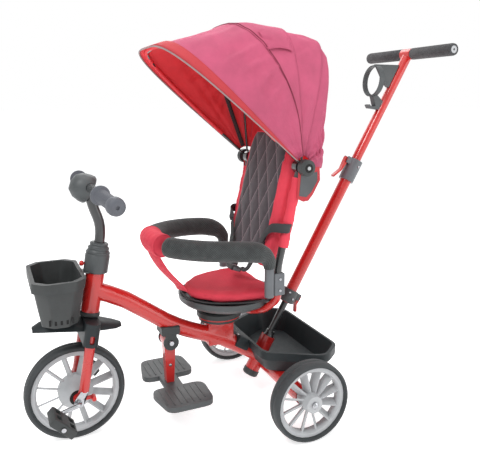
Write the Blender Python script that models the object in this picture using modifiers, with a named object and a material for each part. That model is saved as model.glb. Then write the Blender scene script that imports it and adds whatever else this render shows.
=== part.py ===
"""Child's tricycle with a push pole, a swivel seat and a folding canopy.

Metres, +Z up. The tricycle faces -X and stands on z = 0. The origin is the middle of its
footprint. Places below are measured from the rear axle line unless a frame says otherwise.
"""
import math

import bmesh
import bpy
from mathutils import Matrix, Vector

# Clearances
GAP = 0.0003
SLACK = 0.001

# Wheels
WHEELBASE = 0.539
TRACK = 0.515
FRONT_RADIUS = 0.125
FRONT_WIDTH = 0.040
FRONT_RIM_RADIUS = 0.109
REAR_RADIUS = 0.105
REAR_WIDTH = 0.046
REAR_RIM_RADIUS = 0.0925
WHEEL_SIDES = 32
RIM_DEPTH = 0.013
SPOKES = 12
SPOKE_THICKNESS = 0.0045
SPOKE_TWIST = math.radians(28)
FRONT_HUB_HALF = 0.043
FRONT_HUB_RADIUS = 0.044
FRONT_HUB_END_RADIUS = 0.021
REAR_HUB_HALF = 0.026
REAR_HUB_RADIUS = 0.025
REAR_AXLE_RADIUS = 0.006
AXLE_CAP_RADIUS = 0.0085

# Steering
STEER_TILT = math.radians(10)
RAKE = 0.009
HEAD_DROP = 0.212
HEAD_LENGTH = 0.0995
HEAD_RADIUS = 0.0235
STEERER_RADIUS = 0.013
STEERER_RISE = 0.026
CUP_RADIUS = 0.0255
CUP_HEIGHT = 0.012
CROWN_DROP = 0.0305
CROWN_RADIUS = 0.014
LEG_RADIUS = 0.0125
LEG_Y = 0.058
LEG_END_RISE = 0.025
DROPOUT_THICKNESS = 0.004
DROPOUT_WIDTH = 0.025
DROPOUT_Y = 0.062
CRANK_AXLE_RADIUS = 0.0055
CRANK_LENGTH = 0.050
CRANK_ANGLE = math.radians(10)
CRANK_Y = 0.081
CRANK_SPREAD = 0.006
PEDAL_Y = 0.129
PEDAL_SIZE = (0.068, 0.064, 0.022)
PEDAL_TILT = math.radians(45)
CLUTCH_RADIUS = 0.012
CLUTCH_REACH = 0.036

# Handlebar
STEM_RADIUS = 0.013
COVER_RADIUS = 0.030
COVER_TOP = 0.177
COVER_FOOT = 0.1031
BAR_RADIUS = 0.011
BAR_AHEAD = 0.045
BAR_RISE = 0.313
GRIP_Y = 0.150
GRIP_LENGTH = 0.108
GRIP_RADIUS = 0.0155
GRIP_FLANGE_RADIUS = 0.0225
GRIP_SWEEP = math.radians(10)
GRIP_FALL = math.radians(5)
PAD_RADIUS = 0.036

# Basket on the handlebar stem
BASKET_LENGTH = 0.124
BASKET_HALF_WIDTH = 0.108
BASKET_FOOT_Z = 0.330
BASKET_RIM_Z = 0.444
BASKET_BAND = 0.024
BASKET_WALL = 0.003
BASKET_CHAMFER = 0.026
BASKET_SETBACK = 0.0125
BRACKET_THICKNESS = 0.003
BRACKET_WIDTH = 0.034

# Fender
FENDER_SKIN = 0.0025
SLEEVE_WALL = 0.006
SLEEVE_DROP = 0.040

# Main frame
TUBE_WALL = 0.002
TUBE_RADIUS = 0.0225
BEAM_RADIUS = 0.022
BEAM_END_GAP = 0.0055
BEAM_SOLID_HALF = 0.036
BEAM_END_WALL = 0.012
BEAM_Z = 0.100
POLE_TILT = math.radians(29.6)
POLE_X = -0.034
POLE_Z = 0.095
SOCKET_RADIUS = 0.021
SOCKET_BORE = 0.0173
SOCKET_FOOT = -0.012
SOCKET_TOP = 0.095

# Footrest
FOOTREST_X = -0.290
FOOTREST_PIVOT_Z = 0.2185
FOOTREST_DRUM = 0.019
FOOTREST_DRUM_HALF = 0.0219
CHEEK_THICKNESS = 0.006
CHEEK_RADIUS = 0.021
PLATE_TOP_Z = 0.0995
PLATE_THICKNESS = 0.014
PLATE_INNER_Y = 0.034
PLATE_OUTER_Y = 0.146
PLATE_FRONT_X = -0.356
PLATE_BACK_X = -0.206

# Seat
SWIVEL_X = -0.143
TURN_BASE_Z = 0.2588
TURN_BASE_RADIUS = 0.057
TURN_BASE_HEIGHT = 0.0112
TURN_TOP_RADIUS = 0.062
TURN_TOP_HEIGHT = 0.0167
PAN_X = -0.120
PAN_RADIUS = 0.134
PAN_RISE = 0.0467
CUSHION_HEIGHT = 0.028
CUSHION_EDGE = 0.008
SEAT_TUBE_RADIUS = 0.010
SEAT_TUBE_Y = 0.150
SEAT_TUBE_X = -0.038
BRACKET_FOOT_Z = 0.358
BRACKET_TOP_Z = 0.417
SLEEVE_X = -0.065
SLEEVE_Y = 0.155
SLEEVE_RADIUS = 0.0125
SLEEVE_TOP_Z = 0.4325
BAR_PIN_RADIUS = 0.008
FOAM_RADIUS = 0.026
BAR_COVER_SKIN = 0.004
BAR_COVER_HALF = 0.060
STRAP_WIDTH = 0.034

# Backrest
HUB_X = 0.020
HUB_Z = 0.689
HUB_RADIUS = 0.017
BOSS_HALF = 0.0105
BACK_TUBE_Y = 0.150
BACK_THICKNESS = 0.050
BACK_HEIGHT = 0.378
BACK_FOOT_Z = 0.410

# Canopy
BOLT_RADIUS = 0.004
EYE_RADIUS = 0.010
BOW_RADIUS = 0.003
FABRIC = 0.0028
ARCH_POWER = 4.0
ARCH_STEPS = 12
HUB_CLEAR = 0.030
KNOB_RADIUS = 0.021
KNOB_HEIGHT = 0.022

# Push pole, measured along its own axis
POLE_RADIUS = 0.0165
POLE_BORE = 0.0143
POLE_FOOT = 0.205
POLE_IN_COLLAR = 0.034
INNER_RADIUS = 0.014
INNER_BORE = 0.012
INNER_FOOT = 0.430
HANDLE_RISE = 1.0313
COLLAR_FOOT = 0.606
COLLAR_HEIGHT = 0.067
COLLAR_RADIUS = 0.0225
CLAMP_FOOT = 0.207
CLAMP_TOP = 0.245
CLAMP_RADIUS = 0.0235
HANDLE_BAR_RADIUS = 0.0125
HANDLE_HALF = 0.180
PUSH_GRIP_RADIUS = 0.017
PUSH_GRIP_END = 0.006
PUSH_GRIP_START = 0.022

# Cup holder, places on the upright middle plane from the handle bar
HOOP_AHEAD = 0.1234
HOOP_DROP = 0.0797
HOOP_HALF_WIDTH = 0.040
HOOP_HALF_HEIGHT = 0.0435
HOOP_WIRE = 0.0035

# Rear basket
REAR_RIM_Z = 0.187
REAR_BAND = 0.022
REAR_FRONT_X = -0.062
REAR_WIDE_X = 0.085
REAR_BACK_X = 0.150
REAR_FRONT_HALF = 0.118
REAR_WIDE_HALF = 0.206
REAR_BACK_HALF = 0.150
REAR_WALL = 0.003

HANDLE_X = POLE_X + HANDLE_RISE * math.sin(POLE_TILT)
HANDLE_Z = POLE_Z + HANDLE_RISE * math.cos(POLE_TILT)
HOOP_X = HANDLE_X - HOOP_AHEAD
HOOP_Z = HANDLE_Z - HOOP_DROP
COLLAR_TOP = COLLAR_FOOT + COLLAR_HEIGHT
POLE_TOP = COLLAR_FOOT + POLE_IN_COLLAR
BEAM_HALF = TRACK / 2 - REAR_HUB_HALF - BEAM_END_GAP
AXLE_X = (WHEELBASE + FRONT_RADIUS - HANDLE_X - PUSH_GRIP_RADIUS) / 2

RED = (0.60, 0.035, 0.030)
DARK_RED = (0.52, 0.045, 0.070)
BLACK = (0.030, 0.032, 0.032)
GREY = (0.090, 0.100, 0.105)
SILVER = (0.45, 0.46, 0.47)
CHROME = (0.62, 0.62, 0.63)
TYRE = (0.060, 0.062, 0.064)

for leftover in list(bpy.data.objects):
    bpy.data.objects.remove(leftover, do_unlink=True)

PARTS = bpy.data.collections.new("childs_tricycle")
CUTTERS = bpy.data.collections.new("cutters")
bpy.context.scene.collection.children.link(PARTS)
bpy.context.scene.collection.children.link(CUTTERS)


def place_frame(name, at, turn=(0, 0, 0), parent=None):
    """An empty that carries parts: a fixed frame or a joint's axis."""
    empty = bpy.data.objects.new(name, None)
    empty.empty_display_size = 0.03
    PARTS.objects.link(empty)
    empty.parent = parent
    empty.location = at
    empty.rotation_euler = turn
    return empty


def stand(mesh, frame, name="piece"):
    """A mesh becomes an object under its frame, still a cutter until it is published."""
    obj = bpy.data.objects.new(name, mesh)
    CUTTERS.objects.link(obj)
    obj.parent = frame
    obj.hide_render = True
    obj.display_type = "WIRE"
    return obj


def read_mesh(bm):
    mesh = bpy.data.meshes.new("piece")
    bmesh.ops.recalc_face_normals(bm, faces=bm.faces)
    bm.to_mesh(mesh)
    bm.free()
    return mesh


def baked(obj, merge=1e-5):
    """The evaluated mesh of a curve or a modified object, welded, in the same place."""
    bpy.context.view_layer.update()
    depsgraph = bpy.context.evaluated_depsgraph_get()
    mesh = bpy.data.meshes.new_from_object(obj.evaluated_get(depsgraph))
    bm = bmesh.new()
    bm.from_mesh(mesh)
    bmesh.ops.remove_doubles(bm, verts=bm.verts, dist=merge)
    solid = stand(read_mesh(bm), obj.parent)
    solid.location = obj.location
    solid.rotation_euler = obj.rotation_euler
    bpy.data.objects.remove(obj, do_unlink=True)
    return solid


def block(frame, size, at, turn=(0, 0, 0), bevel=0.0, steps=2):
    bm = bmesh.new()
    bmesh.ops.create_cube(bm, size=1.0, matrix=Matrix.Diagonal((*size, 1.0)))
    obj = stand(read_mesh(bm), frame)
    obj.location = at
    obj.rotation_euler = turn
    if bevel:
        rounding = obj.modifiers.new("rounding", "BEVEL")
        rounding.width = bevel
        rounding.segments = steps
        rounding.limit_method = "ANGLE"
    return obj


def rod(frame, start, end, radius, sides=16, end_radius=None):
    """A straight round bar or cone between two points."""
    start = Vector(start)
    end = Vector(end)
    bm = bmesh.new()
    aim = (end - start).to_track_quat("Z", "Y").to_matrix().to_4x4()
    top = radius if end_radius is None else end_radius
    place = Matrix.Translation((start + end) / 2) @ aim
    bmesh.ops.create_cone(bm, cap_ends=True, segments=sides, radius1=radius, radius2=top,
                          depth=(end - start).length, matrix=place)
    return stand(read_mesh(bm), frame)


def turned(frame, profile, steps, at=(0, 0, 0), aim=(0, 0, 1), closed=True, spin=0.0):
    """A profile of (radius, height) points turned about an axis through a point.

    A closed profile is a ring round a bore. An open one starts and ends on the axis.
    """
    mesh = bpy.data.meshes.new("profile")
    edges = [(i, i + 1) for i in range(len(profile) - 1)]
    if closed:
        edges.append((len(profile) - 1, 0))
    mesh.from_pydata([(r, 0.0, h) for r, h in profile], edges, [])
    obj = stand(mesh, frame)
    screw = obj.modifiers.new("turn", "SCREW")
    screw.steps = steps
    screw.render_steps = steps
    screw.use_merge_vertices = True
    screw.merge_threshold = 1e-5
    solid = baked(obj, 1e-6)
    aim_turn = Vector(aim).to_track_quat("Z", "Y").to_matrix().to_4x4()
    solid.data.transform(Matrix.Translation(at) @ aim_turn @ Matrix.Rotation(spin, 4, "Z"))
    return solid


def pipe(frame, points, radius, sides=12, widths=None):
    """A round tube along points, with widths as shares of the radius where it tapers."""
    curve = bpy.data.curves.new("path", "CURVE")
    curve.dimensions = "3D"
    curve.bevel_depth = radius
    curve.bevel_resolution = max((sides - 4) // 2, 0)
    curve.use_fill_caps = True
    spline = curve.splines.new("POLY")
    spline.points.add(len(points) - 1)
    for i, point in enumerate(points):
        spline.points[i].co = (*point, 1.0)
        spline.points[i].radius = widths[i] if widths else 1.0
    obj = bpy.data.objects.new("path", curve)
    CUTTERS.objects.link(obj)
    obj.parent = frame
    return baked(obj)


def slab(frame, outline, thickness, at=(0, 0, 0), turn=(0, 0, 0)):
    """A flat outline of (x, y) points with a thickness, centred on its plane."""
    curve = bpy.data.curves.new("outline", "CURVE")
    curve.dimensions = "2D"
    curve.fill_mode = "BOTH"
    curve.extrude = thickness / 2
    spline = curve.splines.new("POLY")
    spline.points.add(len(outline) - 1)
    for i, (x, y) in enumerate(outline):
        spline.points[i].co = (x, y, 0.0, 1.0)
    spline.use_cyclic_u = True
    obj = bpy.data.objects.new("outline", curve)
    CUTTERS.objects.link(obj)
    obj.parent = frame
    solid = baked(obj)
    solid.location = at
    solid.rotation_euler = turn
    return solid


def loft(frame, rings):
    """A skin through closed rings of points, capped at both ends."""
    bm = bmesh.new()
    rows = [[bm.verts.new(p) for p in ring] for ring in rings]
    count = len(rows[0])
    for low, high in zip(rows, rows[1:]):
        for i in range(count):
            j = (i + 1) % count
            bm.faces.new((low[i], low[j], high[j], high[i]))
    bm.faces.new(rows[0])
    bm.faces.new(rows[-1])
    return stand(read_mesh(bm), frame)


def merge_copies(pieces):
    """Loose copies as one mesh, for a union that ties them together."""
    frame = pieces[0].parent
    bm = bmesh.new()
    for piece in pieces:
        start = len(bm.verts)
        bm.from_mesh(piece.data)
        bm.verts.ensure_lookup_table()
        place = Matrix.LocRotScale(piece.location, piece.rotation_euler, None)
        bmesh.ops.transform(bm, matrix=place, verts=bm.verts[start:])
        bpy.data.objects.remove(piece, do_unlink=True)
    return stand(read_mesh(bm), frame)


def combine(base, others, operation):
    for other in others:
        boolean = base.modifiers.new(operation.lower(), "BOOLEAN")
        boolean.operation = operation
        boolean.solver = "EXACT"
        boolean.object = other
    return base


def unite(base, *others):
    return combine(base, others, "UNION")


def cut(base, *others):
    return combine(base, others, "DIFFERENCE")


def publish(obj, name, colour, roughness, metallic=0.0):
    """The finished sub-part: its name, its material and its place among the parts."""
    CUTTERS.objects.unlink(obj)
    PARTS.objects.link(obj)
    obj.name = name
    obj.data.name = name
    obj.hide_render = False
    obj.display_type = "TEXTURED"
    finish = bpy.data.materials.new(name + "_finish")
    finish.use_nodes = True
    shader = finish.node_tree.nodes["Principled BSDF"]
    shader.inputs["Base Color"].default_value = (*colour, 1.0)
    shader.inputs["Roughness"].default_value = roughness
    shader.inputs["Metallic"].default_value = metallic
    obj.data.materials.append(finish)
    obj.data.shade_smooth()
    obj.data.set_sharp_from_angle(angle=math.radians(35))
    return obj


def rounded(corners, radius, steps=4):
    """Outline of (x, y) corners, each replaced by an arc."""
    points = []
    count = len(corners)
    for i in range(count):
        before = Vector(corners[i - 1])
        here = Vector(corners[i])
        after = Vector(corners[(i + 1) % count])
        enter = (before - here).normalized()
        leave = (after - here).normalized()
        half = enter.angle(leave) / 2
        reach = radius / math.tan(half)
        reach = min(reach, (before - here).length / 2.05, (after - here).length / 2.05)
        for k in range(steps + 1):
            t = k / steps
            spot = (here + enter * reach) * (1 - t) ** 2 + here * 2 * t * (1 - t)
            spot = spot + (here + leave * reach) * t ** 2
            points.append((spot.x, spot.y))
    return points


def smooth_path(points, reach, steps=4):
    """A bent tube's centre line: straight runs with a curve at each inner point."""
    spots = [Vector(p) for p in points]
    path = [spots[0]]
    for before, here, after in zip(spots, spots[1:], spots[2:]):
        enter = (before - here).normalized() * min(reach, (before - here).length / 2.05)
        leave = (after - here).normalized() * min(reach, (after - here).length / 2.05)
        for k in range(steps + 1):
            t = k / steps
            path.append((here + enter) * (1 - t) ** 2 + here * 2 * t * (1 - t)
                        + (here + leave) * t ** 2)
    path.append(spots[-1])
    return path


def spline_path(points, steps=4):
    """A flowing centre line through every point."""
    spots = [Vector(p) for p in points]
    ends = [spots[0] * 2 - spots[1]] + spots + [spots[-1] * 2 - spots[-2]]
    path = []
    for a, b, c, d in zip(ends, ends[1:], ends[2:], ends[3:]):
        for k in range(steps):
            t = k / steps
            path.append(0.5 * ((2 * b) + (c - a) * t + (2 * a - 5 * b + 4 * c - d) * t ** 2
                               + (3 * b - a - 3 * c + d) * t ** 3))
    path.append(spots[-1])
    return path


def ribbon(frame, points, width, thickness, across=(0, 1, 0)):
    """A flat strap along points, its width along one direction."""
    spots = [Vector(p) for p in points]
    side = Vector(across).normalized()
    rings = []
    for i, spot in enumerate(spots):
        along = spots[min(i + 1, len(spots) - 1)] - spots[max(i - 1, 0)]
        up = along.cross(side).normalized()
        a = side * width / 2
        b = up * thickness / 2
        rings.append([spot - a - b, spot + a - b, spot + a + b, spot - a + b])
    return loft(frame, rings)


def mirror_name(base, side):
    """The rider's left is -Y."""
    return base + ("_left" if side < 0 else "_right")


ROOT = place_frame("tricycle", (AXLE_X, 0, 0))
SIN_STEER = math.sin(STEER_TILT)
COS_STEER = math.cos(STEER_TILT)
HEAD_X = -WHEELBASE + RAKE * COS_STEER + HEAD_DROP * SIN_STEER
HEAD_Z = FRONT_RADIUS - RAKE * SIN_STEER + HEAD_DROP * COS_STEER
STEERING = place_frame("steering_axis", (HEAD_X, 0, HEAD_Z), (0, STEER_TILT, 0), ROOT)
STEERING_LEVEL = place_frame("steering_level", (0, 0, 0), (0, -STEER_TILT, 0), STEERING)
FRONT_AXLE = place_frame("front_axle", (-RAKE, 0, -HEAD_DROP), (0, -STEER_TILT, 0), STEERING)
POLE = place_frame("pole_axis", (POLE_X, 0, POLE_Z), (0, POLE_TILT, 0), ROOT)
POLE_SLIDE = place_frame("pole_slide", (0, 0, 0), (0, 0, 0), POLE)
POLE_LEVEL = place_frame("pole_level", (0, 0, 0), (0, -POLE_TILT, 0), POLE_SLIDE)
SEAT = place_frame("seat_swivel", (SWIVEL_X, 0, 0), (0, 0, 0), ROOT)
FOOTREST = place_frame("footrest_hinge", (FOOTREST_X, 0, FOOTREST_PIVOT_Z), (0, 0, 0), ROOT)


def main_tube_path(beyond=0.0):
    """From inside the head tube, down under the seat, to the pole socket."""
    head = HEAD_LENGTH * 0.55
    start = (HEAD_X + head * SIN_STEER, 0, HEAD_Z + head * COS_STEER)
    knees = [(-0.404, 0, 0.348), (-0.300, 0, 0.2745), (-0.243, 0, 0.243),
             (-0.200, 0, 0.2245), (-0.135, 0, 0.197), (-0.070, 0, 0.158)]
    seat = 0.035
    end = (POLE_X + seat * math.sin(POLE_TILT), 0, POLE_Z + seat * math.cos(POLE_TILT))
    path = spline_path([start] + knees + [end], 2)
    path[-1] = path[-1] + (path[-1] - path[-2]).normalized() * beyond
    return path


def build_frame():
    head_top = HEAD_LENGTH
    head = rod(STEERING, (0, 0, 0), (0, 0, head_top), HEAD_RADIUS, 24)
    tube = pipe(ROOT, main_tube_path(), TUBE_RADIUS, 16)
    beam = rod(ROOT, (0, -BEAM_HALF, BEAM_Z), (0, BEAM_HALF, BEAM_Z), BEAM_RADIUS, 20)
    socket = rod(POLE, (0, 0, SOCKET_FOOT), (0, 0, SOCKET_TOP), SOCKET_RADIUS, 20)
    post_top = TURN_BASE_Z - GAP
    post_foot = 0.185
    post = block(ROOT, (0.074, 0.040, post_top - post_foot),
                 (SWIVEL_X, 0, (post_top + post_foot) / 2), bevel=0.003, steps=1)
    shelf_height = 0.006
    shelf = rod(ROOT, (SWIVEL_X, 0, post_top - shelf_height), (SWIVEL_X, 0, post_top),
                TURN_BASE_RADIUS - 0.008, 24)
    head_bore = rod(STEERING, (0, 0, -0.01), (0, 0, head_top + 0.01), STEERER_RADIUS + GAP, 20)
    pole_bore = rod(POLE, (0, 0, SOCKET_FOOT - 0.01), (0, 0, SOCKET_TOP + 0.01), SOCKET_BORE, 20)
    axle_bore = rod(ROOT, (0, -BEAM_HALF - 0.01, REAR_RADIUS), (0, BEAM_HALF + 0.01, REAR_RADIUS),
                    REAR_AXLE_RADIUS + GAP, 16)
    hollow = pipe(ROOT, main_tube_path(), TUBE_RADIUS - TUBE_WALL, 8)
    post_hollow = block(ROOT, (0.060, 0.030, post_top - post_foot - 0.012),
                        (SWIVEL_X, 0, (post_top + post_foot) / 2 - 0.008))
    beam_hollows = []
    for side in (-1, 1):
        inner = side * BEAM_SOLID_HALF
        outer = side * (BEAM_HALF - BEAM_END_WALL)
        beam_hollows.append(rod(ROOT, (0, inner, BEAM_Z), (0, outer, BEAM_Z),
                                BEAM_RADIUS - TUBE_WALL, 8))
    unite(tube, head, beam, socket, post, shelf)
    cut(tube, hollow, post_hollow, *beam_hollows)
    cut(tube, head_bore, pole_bore, axle_bore)
    publish(tube, "frame", RED, 0.25)


def build_frame_fittings():
    cap_foot = SOCKET_FOOT - 0.018
    plug_top = SOCKET_FOOT + 0.0015
    cap = turned(POLE, [(0, plug_top), (SOCKET_BORE - GAP, plug_top),
                        (SOCKET_BORE - GAP, SOCKET_FOOT - GAP), (0.0228, SOCKET_FOOT - GAP),
                        (0.0228, cap_foot + 0.004), (0.019, cap_foot), (0, cap_foot)],
                 20, closed=False)
    publish(cap, "frame_end_cap", BLACK, 0.5)
    cup = turned(STEERING, [(STEERER_RADIUS + GAP, -GAP), (CUP_RADIUS - 0.002, -GAP),
                            (CUP_RADIUS, -0.003), (CUP_RADIUS, -CUP_HEIGHT + 0.002),
                            (CUP_RADIUS - 0.003, -CUP_HEIGHT),
                            (STEERER_RADIUS + GAP, -CUP_HEIGHT)], 24)
    publish(cup, "headset_cup", BLACK, 0.45)


def fork_shapes(extra, sides=16):
    """Steerer, crown and legs, grown by a clearance when they cut the fender."""
    reach = LEG_Y - 0.002 + extra
    crown = rod(STEERING, (0, -reach, -CROWN_DROP), (0, reach, -CROWN_DROP),
                CROWN_RADIUS + extra, sides)
    top = HEAD_LENGTH + STEERER_RISE
    pieces = [crown, rod(STEERING, (0, 0, -CROWN_DROP), (0, 0, top), STEERER_RADIUS + extra, 20)]
    leg_foot = -HEAD_DROP + LEG_END_RISE
    for side in (-1, 1):
        pieces.append(rod(STEERING, (0, side * LEG_Y, leg_foot),
                          (0, side * LEG_Y, -CROWN_DROP + CROWN_RADIUS * 0.8 + extra),
                          LEG_RADIUS + extra, sides))
    return pieces


def build_fork():
    pieces = fork_shapes(0.0)
    plates = []
    high = -HEAD_DROP + LEG_END_RISE + 0.016
    low = -HEAD_DROP - 0.014
    half = DROPOUT_WIDTH / 2
    outline = rounded([(-half - RAKE, low), (half - RAKE, low), (half - 0.002, high),
                       (-half + 0.002, high)], 0.008, 3)
    for side in (-1, 1):
        plates.append(slab(STEERING, outline, DROPOUT_THICKNESS, (0, side * DROPOUT_Y, 0),
                           (math.pi / 2, 0, 0)))
    reach = LEG_Y + 0.03
    bore = rod(STEERING, (-RAKE, -reach, -HEAD_DROP), (-RAKE, reach, -HEAD_DROP),
               CRANK_AXLE_RADIUS + GAP, 16)
    inner_top = -CROWN_DROP - CROWN_RADIUS - TUBE_WALL
    leg_foot = -HEAD_DROP + LEG_END_RISE
    hollows = [rod(STEERING, (0, side * LEG_Y, leg_foot - 0.01), (0, side * LEG_Y, inner_top),
                   LEG_RADIUS - TUBE_WALL, 8) for side in (-1, 1)]
    top = HEAD_LENGTH + STEERER_RISE
    hollows.append(rod(STEERING, (0, 0, -CROWN_DROP + 0.02), (0, 0, top + 0.01),
                       STEERER_RADIUS - TUBE_WALL, 8))
    unite(pieces[0], *pieces[1:])
    cut(pieces[0], *hollows)
    unite(pieces[0], *plates)
    cut(pieces[0], bore)
    publish(pieces[0], "fork", RED, 0.25)


def build_fender():
    """An arched guard over the wheel, with a sleeve round the top of each fork leg."""
    crest_z = HEAD_Z - (CUP_HEIGHT + GAP) * COS_STEER
    stations = [(-0.095, 0.014, -0.010, 0.010), (-0.076, 0.030, -0.002, 0.015),
                (-0.041, 0.041, 0.003, 0.021), (-0.001, 0.046, 0.002, 0.024),
                (0.039, 0.047, -0.0032, 0.024), (0.074, 0.041, -0.013, 0.018),
                (0.104, 0.030, -0.023, 0.012), (0.121, 0.014, -0.029, 0.008)]
    to_head = -WHEELBASE - HEAD_X
    steps = 8
    rings = []
    for from_axle, half, rise, arch in stations:
        outer = []
        inner = []
        for k in range(steps + 1):
            a = math.pi * (k / steps - 0.5) * 0.92
            drop = arch * (1 - math.cos(a))
            x = from_axle + to_head
            outer.append((x, half * math.sin(a), crest_z + rise - drop - HEAD_Z))
            inner.append((x, (half - FENDER_SKIN) * math.sin(a),
                          crest_z + rise - drop - FENDER_SKIN - HEAD_Z))
        rings.append(outer + inner[::-1])
    shell = loft(STEERING_LEVEL, rings)
    wide = LEG_RADIUS + SLEEVE_WALL
    top = -CUP_HEIGHT - 2 * GAP
    foot = -CROWN_DROP - SLEEVE_DROP
    cover = block(STEERING, (2 * wide - SLACK, 2 * LEG_Y, top - foot - SLACK),
                  (0, 0, (top + foot) / 2))
    sleeves = [rod(STEERING, (0, side * LEG_Y, foot), (0, side * LEG_Y, top), wide, 20)
               for side in (-1, 1)]
    unite(shell, cover, *sleeves)
    under = -CROWN_DROP - CROWN_RADIUS - SLEEVE_WALL
    hollow = block(STEERING, (2 * wide - 2 * SLEEVE_WALL, 2 * (LEG_Y - wide), 0.05),
                   (0, 0, under - 0.025))
    window = rounded([(-0.006, foot + 0.008), (0.006, foot + 0.008), (0.006, foot + 0.030),
                      (-0.006, foot + 0.030)], 0.0055, 3)
    windows = [slab(STEERING, window, 0.02, (0, side * (LEG_Y + wide), 0), (math.pi / 2, 0, 0))
               for side in (-1, 1)]
    cut(shell, *fork_shapes(GAP, 20), hollow, *windows)
    publish(shell, "fender", GREY, 0.4)


def stem_path():
    rise = HEAD_LENGTH + STEERER_RISE + GAP
    return smooth_path([(0, 0, rise), (0, 0, 0.218), (-0.030, 0, 0.268),
                        (-BAR_AHEAD, 0, BAR_RISE)], 0.035, 4)


def grip_aim(side):
    """Outward, swept back and falling a little."""
    return Vector((math.sin(GRIP_SWEEP) * math.cos(GRIP_FALL),
                   side * math.cos(GRIP_SWEEP) * math.cos(GRIP_FALL),
                   -math.sin(GRIP_FALL)))


def bar_path(beyond=0.0):
    ends = []
    for side in (-1, 1):
        flange = Vector((-BAR_AHEAD, side * GRIP_Y, BAR_RISE))
        ends.append([flange - grip_aim(side) * 0.02, flange + grip_aim(side) * (0.098 + beyond)])
    left = ends[0]
    right = ends[1]
    bend = 0.105
    middle = [Vector((-BAR_AHEAD, -bend, BAR_RISE)), Vector((-BAR_AHEAD, bend, BAR_RISE))]
    return [left[1], left[0]] + middle + [right[0], right[1]]


def build_handlebar():
    path = stem_path()
    widths = [1.0] * (len(path) - 1) + [0.8]
    stem = pipe(STEERING, path, STEM_RADIUS, 14, widths)
    bar = pipe(STEERING, bar_path(), BAR_RADIUS, 12)
    unite(stem, bar)
    lower = [path[0] - Vector((0, 0, 0.01))] + path[1:-1]
    cut(stem, pipe(STEERING, lower, STEM_RADIUS - TUBE_WALL, 6))
    cut(stem, pipe(STEERING, bar_path(0.002), BAR_RADIUS - TUBE_WALL, 6))
    publish(stem, "stem", BLACK, 0.15)
    foot = COVER_FOOT
    bore = STEERER_RADIUS + GAP
    top = COVER_TOP
    body = COVER_RADIUS
    cover = turned(STEERING, [(bore, top), (body - 0.0100, top), (body - 0.0085, top - 0.008),
                              (body - 0.0065, top - 0.010), (body - 0.0050, top - 0.018),
                              (body - 0.0030, top - 0.020), (body - 0.0015, top - 0.029),
                              (body + 0.0005, top - 0.032), (body, foot), (bore, foot)], 24)
    publish(cover, "stem_cover", GREY, 0.4)
    lens = PAD_RADIUS
    pad = turned(STEERING, [(0, 0.042), (lens * 0.55, 0.037), (lens * 0.88, 0.022),
                            (lens, 0.004), (lens, -0.006), (lens * 0.92, -0.010), (0, -0.010)],
                 24, (-BAR_AHEAD - 0.004, 0, BAR_RISE - 0.006), (-0.94, 0, 0.33), closed=False)
    groove = rod(STEERING, (-BAR_AHEAD, -0.06, BAR_RISE), (-BAR_AHEAD, 0.06, BAR_RISE),
                 BAR_RADIUS + GAP, 16)
    neck = pipe(STEERING, path, STEM_RADIUS + GAP, 14, widths)
    cut(pad, groove, neck)
    publish(pad, "handlebar_pad", BLACK, 0.5)
    for side in (-1, 1):
        start = Vector((-BAR_AHEAD, side * GRIP_Y, BAR_RISE))
        bore = BAR_RADIUS + GAP
        flange = GRIP_FLANGE_RADIUS
        barrel = GRIP_RADIUS
        length = GRIP_LENGTH
        # The profile runs from the bore's end, out to the flange and round to the tip.
        grip = turned(STEERING, [(0, 0.0985), (bore, 0.0985), (bore, 0), (flange, 0),
                                 (flange, 0.006), (barrel, 0.010), (barrel, length - 0.028),
                                 (barrel + 0.0045, length - 0.024),
                                 (barrel + 0.0045, length - 0.008), (barrel, length),
                                 (0, length)], 20, start, grip_aim(side), closed=False)
        publish(grip, mirror_name("handlebar_grip", side), GREY, 0.45)


def build_stem_lock():
    """A ball-headed pin in the side of the cover that locks the steering."""
    height = HEAD_LENGTH + 0.021
    knob = place_frame("steering_lock_axis", (-COVER_RADIUS, 0, height), (0, 0, 0), STEERING)
    ball = turned(knob, [(0, 0.0125), (0.0050, 0.0115), (0.0072, 0.0075), (0.0060, 0.0030),
                         (0.0030, 0.0012), (0.0030, -0.0090), (0, -0.0090)], 12,
                  (0, 0, 0), (-1, 0, 0), closed=False)
    publish(ball, "steering_lock_pin", RED, 0.3)
    hole = rod(STEERING, (-COVER_RADIUS + 0.0105, 0, height), (-COVER_RADIUS - 0.01, 0, height),
               0.0030 + GAP, 12)
    cut(bpy.data.objects["stem_cover"], hole)


def basket_ring(front, back, half, z):
    corners = [(back, -half), (back, half), (front, half), (front, -half)]
    cut_off = BASKET_CHAMFER
    outline = []
    for i, (x, y) in enumerate(corners):
        before = Vector(corners[i - 1])
        after = Vector(corners[(i + 1) % 4])
        here = Vector((x, y))
        outline.append(here + (before - here).normalized() * cut_off)
        outline.append(here + (after - here).normalized() * cut_off)
    return [(x, y, z) for x, y in rounded(outline, 0.012, 2)]


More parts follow.
